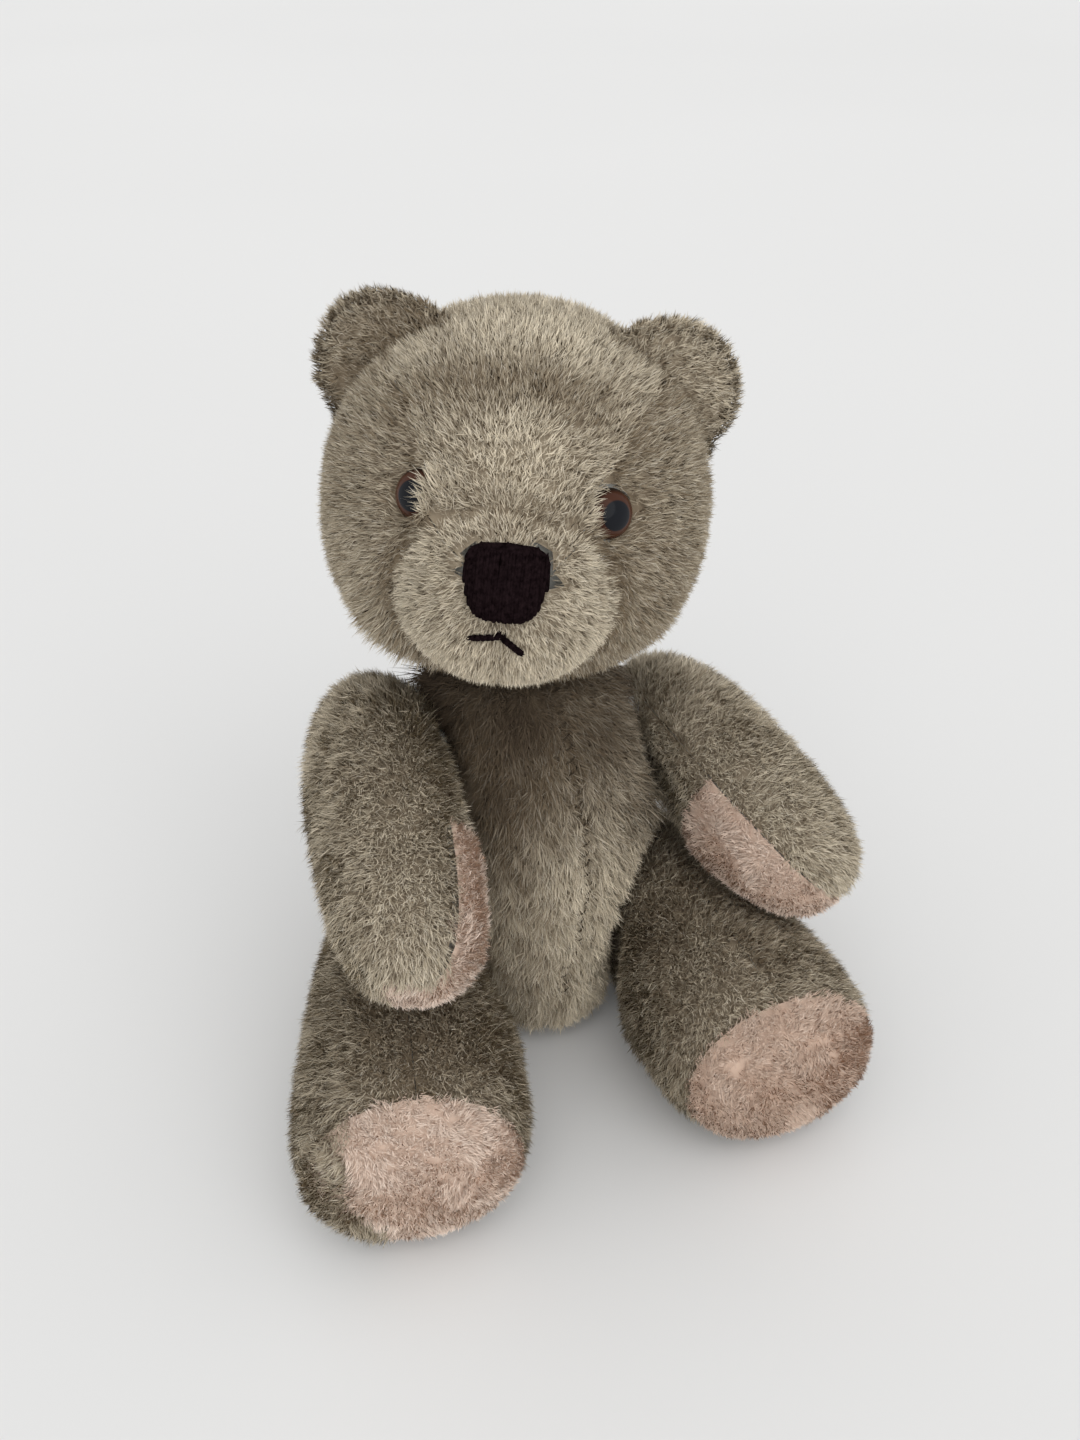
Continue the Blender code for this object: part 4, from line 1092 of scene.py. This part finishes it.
@dataclass(frozen=True)
class FaceForm:
    """The head's rounded form: skull, muzzle, eye sockets, cheeks and the creases between them."""

    skull: Place = (50.0 * MM, 49.0 * MM, 49.0 * MM)
    muzzle: Place = (0.0, -34.0 * MM, -8.0 * MM)
    muzzle_radii: Place = (28.0 * MM, 27.5 * MM, 26.0 * MM)
    crease: float = 1.7 * MM
    crease_width: float = 2.4 * MM
    socket: float = 3.6 * MM
    socket_width: float = 0.17
    cheek: float = 3.5 * MM
    cheek_width: float = 0.50
    brow: float = 7.0 * MM
    brow_width: float = 0.14
    bridge: float = 2.4 * MM
    bridge_width: float = 15.0 * MM
    most_sunk: float = 3.0 * MM
    room: float = 4.9 * MM
    least_depth: float = 1.7 * MM
    step: float = 0.02
    eyes: tuple[Place, ...] = ((-26.5, -40.0, 14.0), (26.5, -40.0, 14.0))
    brows: tuple[Place, ...] = ((-20.0, -43.0, 11.5), (16.5, -45.0, 11.0))
    cheeks: tuple[Place, ...] = ((-34.0, -12.0, -27.0), (34.0, -12.0, -27.0))

    @staticmethod
    def hill(ways: Array, places: Sequence[Place], width: float) -> Array:
        """Returns the sum of soft round hills seen from the head's centre."""
        total = np.zeros(len(ways))
        for place in places:
            angle = np.arccos(np.clip(ways @ unit(np.array(place)), -1.0, 1.0))
            total += np.exp(-((angle / width) ** 2))
        return total

    def skull_reach(self, ways: Array) -> Array:
        """Returns how far the skull reaches along each way."""
        return 1.0 / np.linalg.norm(ways / np.array(self.skull), axis=1)

    def muzzle_reach(self, ways: Array) -> Array:
        """Returns how far the muzzle reaches along each way, or 0."""
        radii = np.array(self.muzzle_radii)
        scaled, centre = ways / radii, np.array(self.muzzle) / radii
        a = np.sum(scaled * scaled, axis=1)
        b = scaled @ centre
        under = b * b - a * (centre @ centre - 1.0)
        return np.where(under > 0.0, np.maximum(0.0, (b + np.sqrt(np.maximum(under, 0.0))) / a), 0.0)

    def crease_share(self, ways: Array) -> Array:
        """Returns how near each way is to the crease round the muzzle, from 0 to 1."""
        skull = self.skull_reach(ways)
        return np.exp(-(((skull - self.muzzle_reach(ways) - 0.6 * MM) / self.crease_width) ** 2))

    def mask(self, ways: Array) -> Array:
        """Returns 1 inside the raised muzzle and 0 outside it."""
        skull = self.skull_reach(ways)
        return clamp((self.muzzle_reach(ways) - skull) / (1.6 * MM) + 0.5)

    def reach(self, ways: Array) -> Array:
        """Returns how far the form reaches along each way from the head's centre."""
        skull = self.skull_reach(ways)
        muzzle = self.muzzle_reach(ways)
        place = ways * skull[:, None]
        over = clamp((place[:, 2] + 4.0 * MM) / (8.0 * MM))
        middle = np.exp(-((place[:, 0] / self.bridge_width) ** 2)) * over
        blend = np.exp(-np.abs(skull - muzzle) / (1.2 * MM + 4.8 * MM * middle))
        joined = np.maximum(skull, muzzle) + (0.4 * MM + self.bridge * middle) * blend
        joined -= (1.0 - middle) * self.crease * self.crease_share(ways)
        joined -= self.socket * self.hill(ways, self.eyes, self.socket_width)
        joined += self.brow * self.hill(ways, self.brows, self.brow_width)
        return joined + self.cheek * self.hill(ways, self.cheeks, self.cheek_width)

    def lay(self, tufts: "Tufts") -> None:
        """Moves tufts onto the form and turns their normals with it."""
        local = HEAD.local(tufts.points)
        ways = unit(local)
        side = unit(np.cross(ways, np.array([0.13, 0.21, 1.0])))
        other = np.cross(ways, side)
        turned = []
        for move in (side, -side, other, -other):
            near = unit(ways + self.step * move)
            turned.append(near * self.reach(near)[:, None])
        normals = unit(np.cross(turned[0] - turned[1], turned[2] - turned[3]))
        normals *= np.sign(dot(normals, ways))
        low = clamp((-local[:, 2] - 36.0 * MM) / (6.0 * MM))[:, None]
        before = np.linalg.norm(local, axis=1)
        after = np.maximum(self.reach(ways), before - self.most_sunk)
        place = ways * after[:, None]
        depth = np.clip(self.room - (before - after), self.least_depth, tufts.depth)
        tufts.length -= 0.8 * (tufts.depth - depth)
        tufts.depth[:] = depth
        place = place * (1.0 - low) + local * low
        m = np.array(HEAD.matrix())[:3, :3]
        tufts.normals[:] = unit((normals @ m.T) * (1.0 - low) + tufts.normals * low)
        tufts.points[:] = HEAD.world(place)


FACE = FaceForm()


@dataclass
class Eye:
    """A domed eye on its shank, set along the line of its washer."""

    side: Side
    wardrobe: Wardrobe
    steps: int = 48
    dome_points: int = 24

    def axis(self) -> tuple[Array, Array, float, float]:
        """Returns the rim's middle, the way out, the rim's radius and the dome's height."""
        points = self.wardrobe.meshes[f"eye_{self.side.value}"][0]
        washer = self.wardrobe.meshes[f"eye_{self.side.value}_washer"][0].mean(axis=0)
        farthest = np.argsort(np.linalg.norm(points - washer, axis=1))[-self.dome_points :]
        out = unit(points[farthest].mean(axis=0) - washer)
        depth = (points - washer) @ out
        reach = np.linalg.norm(points - washer - depth[:, None] * out, axis=1)
        rim = depth[reach > reach.max() - 0.1 * MM]
        return washer + out * rim.mean(), out, float(reach.max()), float(depth.max() - rim.mean())

    def build(self) -> bpy.types.Object:
        """Turns the eye's profile and places it."""
        middle, out, radius, dome = self.axis()
        bend = np.linspace(0.0, math.pi / 2.0, 14)
        outline = [(radius * math.cos(a), dome * math.sin(a)) for a in bend[:-1]]
        shank = [(1.9 * MM, -5.0 * MM), (2.0 * MM, -1.6 * MM), (radius * 0.93, -1.1 * MM)]
        profile = [*shank, *outline, (0.02 * MM, dome)]
        side = unit(np.cross(out, np.array([0.31, 0.12, 0.9])))
        other = np.cross(out, side)
        turns = np.linspace(0.0, 2.0 * math.pi, self.steps, endpoint=False)
        points, across = [], []
        for reach, height in profile:
            for turn in turns:
                points.append(middle + out * height + reach * between(turn, side, other))
                across.append(reach / radius)
        quads = [tuple(quad) for quad in ring_quads(len(profile), self.steps).tolist()]
        quads.append(tuple(range(self.steps))[::-1])
        top = (len(profile) - 1) * self.steps
        quads.append(tuple(top + k for k in range(self.steps)))
        name = f"eye_{self.side.value}_dome"
        obj = smooth_object(name, np.array(points), quads, EYE_PLASTIC.name)
        layer = obj.data.uv_layers.new(name="dome")
        values = [(across[loop.vertex_index], 0.5) for loop in obj.data.loops]
        layer.data.foreach_set("uv", np.array(values, np.float32).reshape(-1))
        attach(obj, "head")
        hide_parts(f"eye_{self.side.value}")
        log.info("%s: rim %.1f mm", name, radius / MM)
        return obj


# Sub-assemblies


@dataclass
class Head:
    """The round head: two sides, a pale gusset, ears, eyes, stitched nose and mouth."""

    furrier: Furrier
    muzzle_tone: float = 0.70
    ear_tones: tuple[float, float] = (0.50, 0.24)
    ear_back_tone: float = 0.40
    sag: float = 0.25
    crease_darker: float = 0.22
    muzzle_shorter: float = 0.12
    chin_start: float = -26.0 * MM
    chin_fade: float = 16.0 * MM
    chin_darker: float = 0.16
    chin_grime: float = 0.20
    rim_start: float = 52.0 * MM
    rim_fade: float = 16.0 * MM
    rim_paler: float = 0.26
    nose_tip: Place = (0.0, -58.0 * MM, 0.0)
    nose_threads: int = 27
    thread_radius: float = 0.62 * MM
    mouth_top: tuple[float, float] = (0.0, -3.0 * MM)
    mouth_fork: tuple[float, float] = (0.0, -9.0 * MM)
    mouth_radius: float = 0.85 * MM
    mouth_pitch: float = 3.4 * MM
    mouth_ends: tuple[tuple[float, float], ...] = ((6.0 * MM, -13.5 * MM), (-8.5 * MM, -10.5 * MM))
    cut: PileCut = PileCut(length=4.4 * MM, depth=3.2 * MM, lean=30.0, spread=1.1 * MM, hairs=4)
    ear_cut: PileCut = PileCut(length=4.1 * MM, depth=2.9 * MM, lean=36.0)
    spots: tuple[Spot, ...] = (
        # The four spots on this line and the next are a painted shade band across the upper forehead, where
        # the nap turns.
        Spot((-24.6, 8.5, 202.1), 13.0, tone=-0.38), Spot((-13.5, 1.8, 204.1), 13.0, tone=-0.42),
        Spot((-1.7, -3.1, 203.5), 13.0, tone=-0.42), Spot((9.1, -6.9, 200.1), 12.0, tone=-0.34),
        Spot((-27.0, 4.0, 139.0), 15.0, short=-0.7),
        Spot((-11.6, -11.7, 192.4), 17.0, tone=0.46),
        Spot((-5.0, -14.0, 190.0), 12.0, tone=0.14),
        # The two spots on this line are a painted highlight on the crown.
        Spot((7.4, 9.8, 210.2), 17.0, tone=0.36), Spot((-6.0, 14.0, 212.0), 14.0, tone=0.26),
        Spot((-45.6, 10.5, 165.0), 16.0, tone=0.06), Spot((19.5, -17.3, 146.5), 14.0, tone=-0.05),
        Spot((-27.5, -8.5, 181.8), 8.5, tone=0.10, short=-1.5, lean=38.0),
        Spot((2.5, -20.0, 177.0), 7.5, tone=0.10, short=-0.9, lean=30.0),
        Spot((-39.0, 8.0, 143.0), 17.0, short=-1.1), Spot((24.0, -9.0, 143.0), 13.0, short=-0.6),
        Spot((-6.3, -32.2, 153.5), 2.2, grime=0.35), Spot((-15.5, -31.5, 157.5), 7.0, short=0.35),
    )

    def shade(self, base: float) -> Shade:
        """Returns how the head's pile is brushed and toned, from the panel's own tone."""

        def apply(tufts: Tufts) -> None:
            """Combs away from the nose, short and pale on the muzzle, with painted shade in the crease round
            it and under the chin.
            """
            FACE.lay(tufts)
            local = HEAD.local(tufts.points)
            ahead = local - np.array(self.nose_tip)
            tufts.flow[:] = unit(HEAD.turned(ahead)) + 0.35 * whirl(tufts.points)
            tufts.flow[:, 2] -= self.sag
            near = FACE.mask(unit(local))
            tufts.tone[:] = base + (self.muzzle_tone - base) * near
            # Painted shade in the crease round the muzzle.
            tufts.tone -= self.crease_darker * FACE.crease_share(unit(local)) * (1.0 - near)
            tufts.length *= 1.0 - self.muzzle_shorter * near
            # Under the chin: painted shade, with some dirt.
            chin = clamp((self.chin_start - local[:, 2]) / self.chin_fade)
            tufts.tone -= self.chin_darker * chin
            tufts.grime += self.chin_grime * chin
            lay_spots(self.spots, tufts)

        return apply

    def ear_shade(self, base: float) -> Shade:
        """Returns how an ear's pile is brushed and toned."""

        def apply(tufts: Tufts) -> None:
            """Combs up and out from the head, paler at the rim and darker in the hollow near the head, as
            painted light and shade.
            """
            local = HEAD.local(tufts.points)
            tufts.flow[:] = HEAD.turned(unit(local)) + 0.5 * whirl(tufts.points)
            rim = clamp((np.linalg.norm(local, axis=1) - self.rim_start) / self.rim_fade)
            # Paler at the rim and darker in the hollow near the head: painted light and shade.
            tufts.tone[:] = base + self.rim_paler * rim
            tufts.length *= 0.85 + 0.25 * rim
            lay_spots(self.spots, tufts)

        return apply

    def build_nose(self) -> bpy.types.Object:
        """Stitches the nose over its core."""
        tree = self.furrier.wardrobe.tree(["nose"])
        box = HEAD.local(self.furrier.wardrobe.meshes["nose"][0])
        left, right = box[:, 0].min() + 0.5 * MM, box[:, 0].max() - 0.5 * MM
        work = ThreadWork()
        rng = np.random.default_rng(5)
        up = HEAD.ahead()
        for k, side in enumerate(np.linspace(left, right, self.nose_threads)):
            hits = []
            for height in np.linspace(-16.0 * MM, 16.0 * MM, 65):
                lean = rng.normal(0.0, 0.02 * MM)
                hit = HEAD.front(tree, side + lean, height)
                if hit is not None:
                    hits.append(np.array(hit) + up * 0.30 * MM)
            if len(hits) > 6:
                ragged = int(abs(rng.normal(0.0, 0.8)) + (4 if k < 4 else 0))
                path = np.array(hits[: len(hits) - ragged])
                ends = (path[0] - up * 1.1 * MM, path[-1] - up * 1.1 * MM)
                path = np.vstack([ends[0], path[::3], ends[1]])
                across = np.linspace(-1.0, 1.0, len(path))[:, None] * np.array([1.0, 0.0, 0.0])
                sway = across * rng.normal(0.0, 0.18 * MM)
                work.lay(path + sway + up * 0.12 * MM * (k % 3), self.thread_radius, up)
        obj = work.build("nose_stitches", "head", NOSE_THREAD)
        frame["nodes"]["nose"].data.materials.clear()
        frame["nodes"]["nose"].data.materials.append(MATERIALS[NOSE_THREAD.name])
        return obj

    def build_mouth(self) -> bpy.types.Object:
        """Lays the mouth's two twisted threads on the muzzle."""
        tree = self.furrier.wardrobe.tree(["head_gusset", "head_side_left", "head_side_right"])
        work = ThreadWork()
        up = HEAD.ahead()
        top, fork = np.array(self.mouth_top), np.array(self.mouth_fork)
        left, right = (np.array(end) for end in self.mouth_ends)
        routes = [[top, fork, right], [fork, left]]
        for route in routes:
            path = []
            for a, b in zip(route, route[1:]):
                for share in np.linspace(0.0, 1.0, 14)[:-1]:
                    side, height = a + (b - a) * share
                    hit = HEAD.front(tree, side, height)
                    path.append(np.array(hit) + up * 1.2 * MM)
            work.twist(np.array(path), self.mouth_radius, self.mouth_pitch, up)
        obj = work.build("mouth_threads", "head", NOSE_THREAD)
        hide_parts("mouth")
        return obj

    def build(self) -> None:
        """Makes the whole head."""
        cover = self.furrier.cover
        cover("head_side_left", "head", self.cut, BEAR_PILE, self.shade(0.29), 11)
        cover("head_side_right", "head", self.cut, BEAR_PILE, self.shade(0.33), 12)
        cover("head_gusset", "head", self.cut, BEAR_PILE, self.shade(0.62), 13)
        back = self.ear_shade(self.ear_back_tone)
        for k, side in enumerate(Side):
            # The right ear's darker front is painted shade in its hollow.
            front = self.ear_shade(self.ear_tones[k])
            cover(f"ear_{side.value}_front", "head", self.ear_cut, BEAR_PILE, front, 21 + k)
            cover(f"ear_{side.value}_back", "head", self.ear_cut, BEAR_PILE, back, 23 + k)
            Eye(side, self.furrier.wardrobe).build()
        self.build_nose()
        self.build_mouth()


@dataclass
class Torso:
    """The stuffed body in two halves, with its hand-closed front seam."""

    furrier: Furrier
    cut: PileCut = PileCut(length=6.4 * MM, depth=4.0 * MM, lean=43.0, gather=0.6, swing=0.22)
    tone: float = 0.64
    chest_start: float = 62.0 * MM
    chest_fade: float = 44.0 * MM
    chest_darker: float = 0.48
    chest_grime: float = 0.60
    right_darker: float = 0.20
    right_grime: float = 0.10
    ridge_size: float = 4.4 * MM
    ridge_tone: float = 0.22
    stitches: tuple[float, float, float] = (24.0 * MM, 112.0 * MM, 3.1 * MM)
    stitch_radius: float = 0.27 * MM
    spots: tuple[Spot, ...] = (
        Spot((-13.0, -2.8, 89.0), 17.0, tone=-0.16, grime=0.25),
        Spot((-15.5, -5.5, 67.5), 17.0, tone=-0.14, grime=0.18),
        Spot((-5.7, 1.8, 110.5), 16.0, grime=0.30), Spot((19.8, -11.0, 52.0), 24.0, tone=0.10),
        Spot((16.2, -0.9, 100.6), 12.0, tone=-0.10, grime=0.20),
        # The next four spots lengthen the pile to close the gaps at the arm joints, and darken it there as
        # painted shade between the parts.
        Spot((-26.0, 20.0, 112.0), 18.0, short=-1.1, grime=0.3),
        Spot((28.0, 22.0, 106.0), 13.0, short=-0.4, grime=0.2),
        Spot((29.0, 2.0, 76.0), 15.0, short=-1.0, grime=0.3),
        Spot((-20.6, 28.7, 110.1), 13.0, short=-0.6, grime=0.3),
    )

    def apply_shade(self, tufts: Tufts) -> None:
        """Combs down in ridges; darker at the upper chest, partly dirt and partly painted shade under the
        chin.
        """
        p = tufts.points
        tufts.flow[:] = (0.0, 0.0, -1.0)
        tufts.flow += 0.40 * whirl(p)
        # Upper chest under the chin: darker and dirtier, partly dirt and partly painted shade.
        high = clamp((p[:, 2] - self.chest_start) / self.chest_fade)
        ridges = swirl(p * np.array([1.0, 1.0, 0.28]), self.ridge_size, 2.2)
        right = clamp((6.0 * MM - p[:, 0]) / (12.0 * MM))
        clean = self.tone - self.chest_darker * high - self.right_darker * right
        tufts.tone[:] = clean + self.ridge_tone * ridges
        tufts.length *= 1.0 + 0.20 * ridges
        tufts.grime += self.chest_grime * high + self.right_grime * right
        lay_spots(self.spots, tufts)

    def build_seam(self) -> bpy.types.Object:
        """Draws the front seam together with slanted stitches."""
        shell = self.furrier.wardrobe.shells["torso_left"]
        other = self.furrier.wardrobe.tree(["torso_right"])
        edge = []
        for place, normal in zip(shell.points, shell.normals):
            near = other.find_nearest(Vector(place), 0.6 * MM)[0]
            if near is not None and normal[1] < -0.25:
                edge.append((*((place + np.array(near)) / 2.0), *normal))
        rows = np.array(edge)
        rows = rows[np.argsort(rows[:, 2])]
        rng = np.random.default_rng(8)
        work = ThreadWork()
        for height in np.arange(*self.stitches):
            place = np.array([np.interp(height, rows[:, 2], rows[:, k]) for k in range(3)])
            normal = unit(np.array([np.interp(height, rows[:, 2], rows[:, k]) for k in (3, 4, 5)]))
            along = unit(np.array([0.0, 0.0, 1.0]) - normal[2] * normal)
            across = np.cross(along, normal)
            slant = unit(across + rng.uniform(0.3, 0.7) * along)
            span = np.linspace(-1.0, 1.0, 9)[:, None]
            lift = (-0.9 * MM - 1.6 * MM * span**2) * normal
            path = place + span * slant * rng.uniform(1.7, 2.4) * MM + lift
            work.lay(path, self.stitch_radius, normal, 5)
        return work.build("belly_seam_stitches", "torso", SEAM_THREAD)

    def build(self) -> None:
        """Makes both halves and the seam."""
        self.furrier.cover("torso_left", "torso", self.cut, BEAR_PILE, self.apply_shade, 31)
        self.furrier.cover("torso_right", "torso", self.cut, BEAR_PILE, self.apply_shade, 32)
        self.build_seam()


@dataclass
class Limb:
    """A jointed arm or leg in two panels, with a pink pad."""

    furrier: Furrier
    body: str
    pad: str
    tone: float
    pad_tone: float
    seed: int
    spots: tuple[Spot, ...] = ()
    edge_uneven: float = 0.14
    worn_grime: float = 0.16
    worn_shorter: float = 0.35
    cut: PileCut = PileCut()
    pad_cut: PileCut = PileCut(
        length=3.2 * MM, depth=2.0 * MM, lean=36.0, tufts=0.38e6, spread=1.0 * MM, gather=0.5
    )

    def shade(self, tufts: Tufts) -> None:
        """Combs towards the end of the limb."""
        p = tufts.points
        tufts.flow[:] = unit(p - joint_place(f"{self.body}_swing")) + 0.6 * whirl(p)
        tufts.flow[:, 2] -= 0.3
        ridges = swirl(p, 5.2 * MM, 1.4)
        tufts.tone[:] = self.tone + 0.07 * ridges
        tufts.length *= 1.0 + 0.10 * ridges
        self.dab(tufts)
        foreign = tufts.other > 0.5
        tufts.tone[foreign] = self.pad_tone
        tufts.length[foreign] *= 0.85

    def shade_pad(self, tufts: Tufts) -> None:
        """Lays the pad's short pile in swirls, with worn places, paler where it faces down as painted light.
        """
        p = tufts.points
        tufts.flow[:] = 1.3 * whirl(p)
        tufts.flow[:, 2] += 0.5
        # Painted light: the pad is paler where it faces down, where it would fall in shade.
        below = 0.25 * clamp(-tufts.normals[:, 2])
        tufts.tone[:] = self.pad_tone + 0.10 * swirl(p, 17.0 * MM, 1.0) + below
        worn = clamp(swirl(p, 9.0 * MM, 5.2) * 3.2 - 2.1)
        tufts.grime += self.worn_grime * worn
        tufts.length *= 1.0 - self.worn_shorter * worn
        self.dab(tufts)
        tufts.other *= -1.0
        foreign = tufts.other > 0.5
        tufts.tone[foreign] = self.tone
        tufts.length[foreign] *= 1.5

    def dab(self, tufts: Tufts) -> None:
        """Lays the limb's spots on the tufts, with an uneven edge between cloth and pad."""
        lay_spots(self.spots, tufts)
        tufts.other += self.edge_uneven * swirl(tufts.points, 4.0 * MM, 0.8)

    def build(self) -> None:
        """Makes the limb's panels and pad."""
        cover = self.furrier.cover
        for k, panel in enumerate(("inner", "outer")):
            cover(f"{self.body}_{panel}", self.body, self.cut, BEAR_PILE, self.shade, self.seed + k, PAD_PILE)
        pad = f"{self.body}_{self.pad}"
        cover(pad, self.body, self.pad_cut, PAD_PILE, self.shade_pad, self.seed + 2, BEAR_PILE)


def limbs(furrier: Furrier) -> tuple[Limb, ...]:
    """Returns the four limbs with their own tones and worn places."""
    # The first spot of the left arm is painted shade in the crease at the shoulder.
    arm_left = (Spot((46.8, 15.8, 98.2), 16.0, tone=-0.06), Spot((60.7, -15.9, 91.7), 18.0, tone=0.06))
    arm_right = (
        # The two spots on this line are painted shade on the top of the right arm.
        Spot((-44.9, -3.8, 109.7), 15.0, tone=-0.10), Spot((-53.0, -45.3, 89.4), 20.0, tone=-0.07),
        Spot((-64.9, -1.7, 92.1), 2.6, grime=0.8, short=-0.8),
        Spot((-29.0, 17.0, 115.0), 18.0, short=-1.0),
        Spot((-43.3, -50.1, 68.2), 13.0, other=1.0), Spot((-52.8, -50.7, 71.6), 11.0, other=1.0),
        Spot((-33.3, -45.0, 83.8), 9.0, other=1.0), Spot((-34.0, -46.0, 78.0), 20.0, short=-0.55),
    )
    leg_left = (
        # The first spot is painted shade in the crease where the leg meets the arm and body, with some dirt.
        Spot((24.4, -22.8, 49.3), 18.0, tone=-0.14, grime=0.12), Spot((27.0, -52.0, 48.7), 16.0, tone=0.03),
    )
    leg_right = (
        Spot((-49.8, -55.5, 54.8), 19.0, tone=-0.22, grime=0.08),
        Spot((-82.0, -58.0, 45.0), 22.0, other=-1.0),
        Spot((-81.0, -62.0, 30.0), 22.0, other=-1.0), Spot((-73.0, -66.0, 10.0), 20.0, other=-1.0),
        Spot((-60.0, -63.0, 57.0), 9.0, other=-1.0), Spot((-73.0, -62.0, 12.0), 22.0, tone=0.3),
    )
    return (
        # The left paw and foot pads take darker tones than the right ones: painted shade on the bear's left
        # side.
        Limb(furrier, "arm_left", "paw_pad", 0.58, 0.40, 41, arm_left),
        Limb(furrier, "arm_right", "paw_pad", 0.60, 0.70, 51, arm_right),
        Limb(furrier, "leg_left", "foot_pad", 0.40, 0.06, 61, leg_left),
        Limb(furrier, "leg_right", "foot_pad", 0.42, 0.62, 71, leg_right),
    )


@dataclass
class Innards:
    """The filling and the plastic joints, which stay as they are and get their finish."""

    nodes: dict[str, bpy.types.Object]

    def finish(self, name: str) -> PlainFinish:
        """Returns the finish of a hidden node."""
        return FILLING if name.endswith("_stuffing") else JOINT_PLASTIC

    def build(self) -> None:
        """Dresses the hidden nodes."""
        for name, obj in self.nodes.items():
            if name.endswith(("_stuffing", "_disc", "_washer")):
                obj.data.materials.clear()
                obj.data.materials.append(MATERIALS[self.finish(name).name])
                log.info("%s: %s", name, self.finish(name).name)


@dataclass
class Studio:
    """The pale floor, the soft light and the camera."""

    lens: float = 35.0
    camera_offset: Place = (-98.5 * MM, -322.4 * MM, 195.0 * MM)
    target_offset: Place = (0.0, -19.3 * MM, -12.0 * MM)
    key_strength: float = 1.25
    key_angle: float = 75.0
    key_way: Place = (0.10, 1.10, -0.85)
    world_strength: float = 0.79
    floor_half: float = 9.0

    def build_floor(self) -> None:
        """Lays the paper."""
        half = self.floor_half
        mesh = bpy.data.meshes.new("floor")
        corners = [(-half, -half, 0.0), (half, -half, 0.0), (half, half, 0.0), (-half, half, 0.0)]
        mesh.from_pydata(corners, [], [(0, 1, 2, 3)])
        mesh.materials.append(MATERIALS[PAPER.name])
        show("floor", mesh)

    def add_sun(self) -> None:
        """Adds a wide soft light that falls evenly over the whole floor."""
        lamp = bpy.data.lights.new("key", "SUN")
        lamp.angle = math.radians(self.key_angle)
        lamp.energy = self.key_strength
        turn = Vector(self.key_way).to_track_quat("-Z", "Y").to_matrix().to_4x4()
        show("key", lamp).matrix_world = turn

    def build(self) -> None:
        """Sets the studio up round the bear."""
        self.build_floor()
        self.add_sun()
        world = bpy.data.worlds.new("studio")
        world.use_nodes = True
        back = world.node_tree.nodes["Background"]
        back.inputs["Color"].default_value = (1.0, 1.0, 1.0, 1.0)
        back.inputs["Strength"].default_value = self.world_strength
        bpy.context.scene.world = world
        bpy.context.scene.view_settings.view_transform = "Standard"
        lens = bpy.data.cameras.new("camera")
        lens.lens = self.lens
        lens.sensor_fit = "VERTICAL"
        lens.sensor_height = 36.0
        lens.clip_start = 0.01
        lens.clip_end = 50.0
        camera = show("camera", lens)
        neck = Vector(joint_place("neck_turn"))
        place = neck + Vector(self.camera_offset)
        aim = neck + Vector(self.target_offset)
        turn = (aim - place).to_track_quat("-Z", "Y").to_matrix().to_4x4()
        camera.matrix_world = Matrix.Translation(place) @ turn
        bpy.context.scene.camera = camera


FINISHES = (BEAR_PILE, PAD_PILE, NOSE_THREAD, SEAM_THREAD, EYE_PLASTIC, JOINT_PLASTIC, FILLING, PAPER)
MATERIALS = {finish.name: finish.material() for finish in FINISHES}


def main() -> None:
    """Dresses the bear piece by piece."""
    logging.basicConfig(level=logging.INFO, format="%(message)s")
    wardrobe = Wardrobe(frame["nodes"])
    furrier = Furrier(wardrobe)
    Torso(furrier).build()
    Head(furrier).build()
    for limb in limbs(furrier):
        limb.build()
    Innards(frame["nodes"]).build()
    Studio().build()


if __name__ == "__main__":
    main()
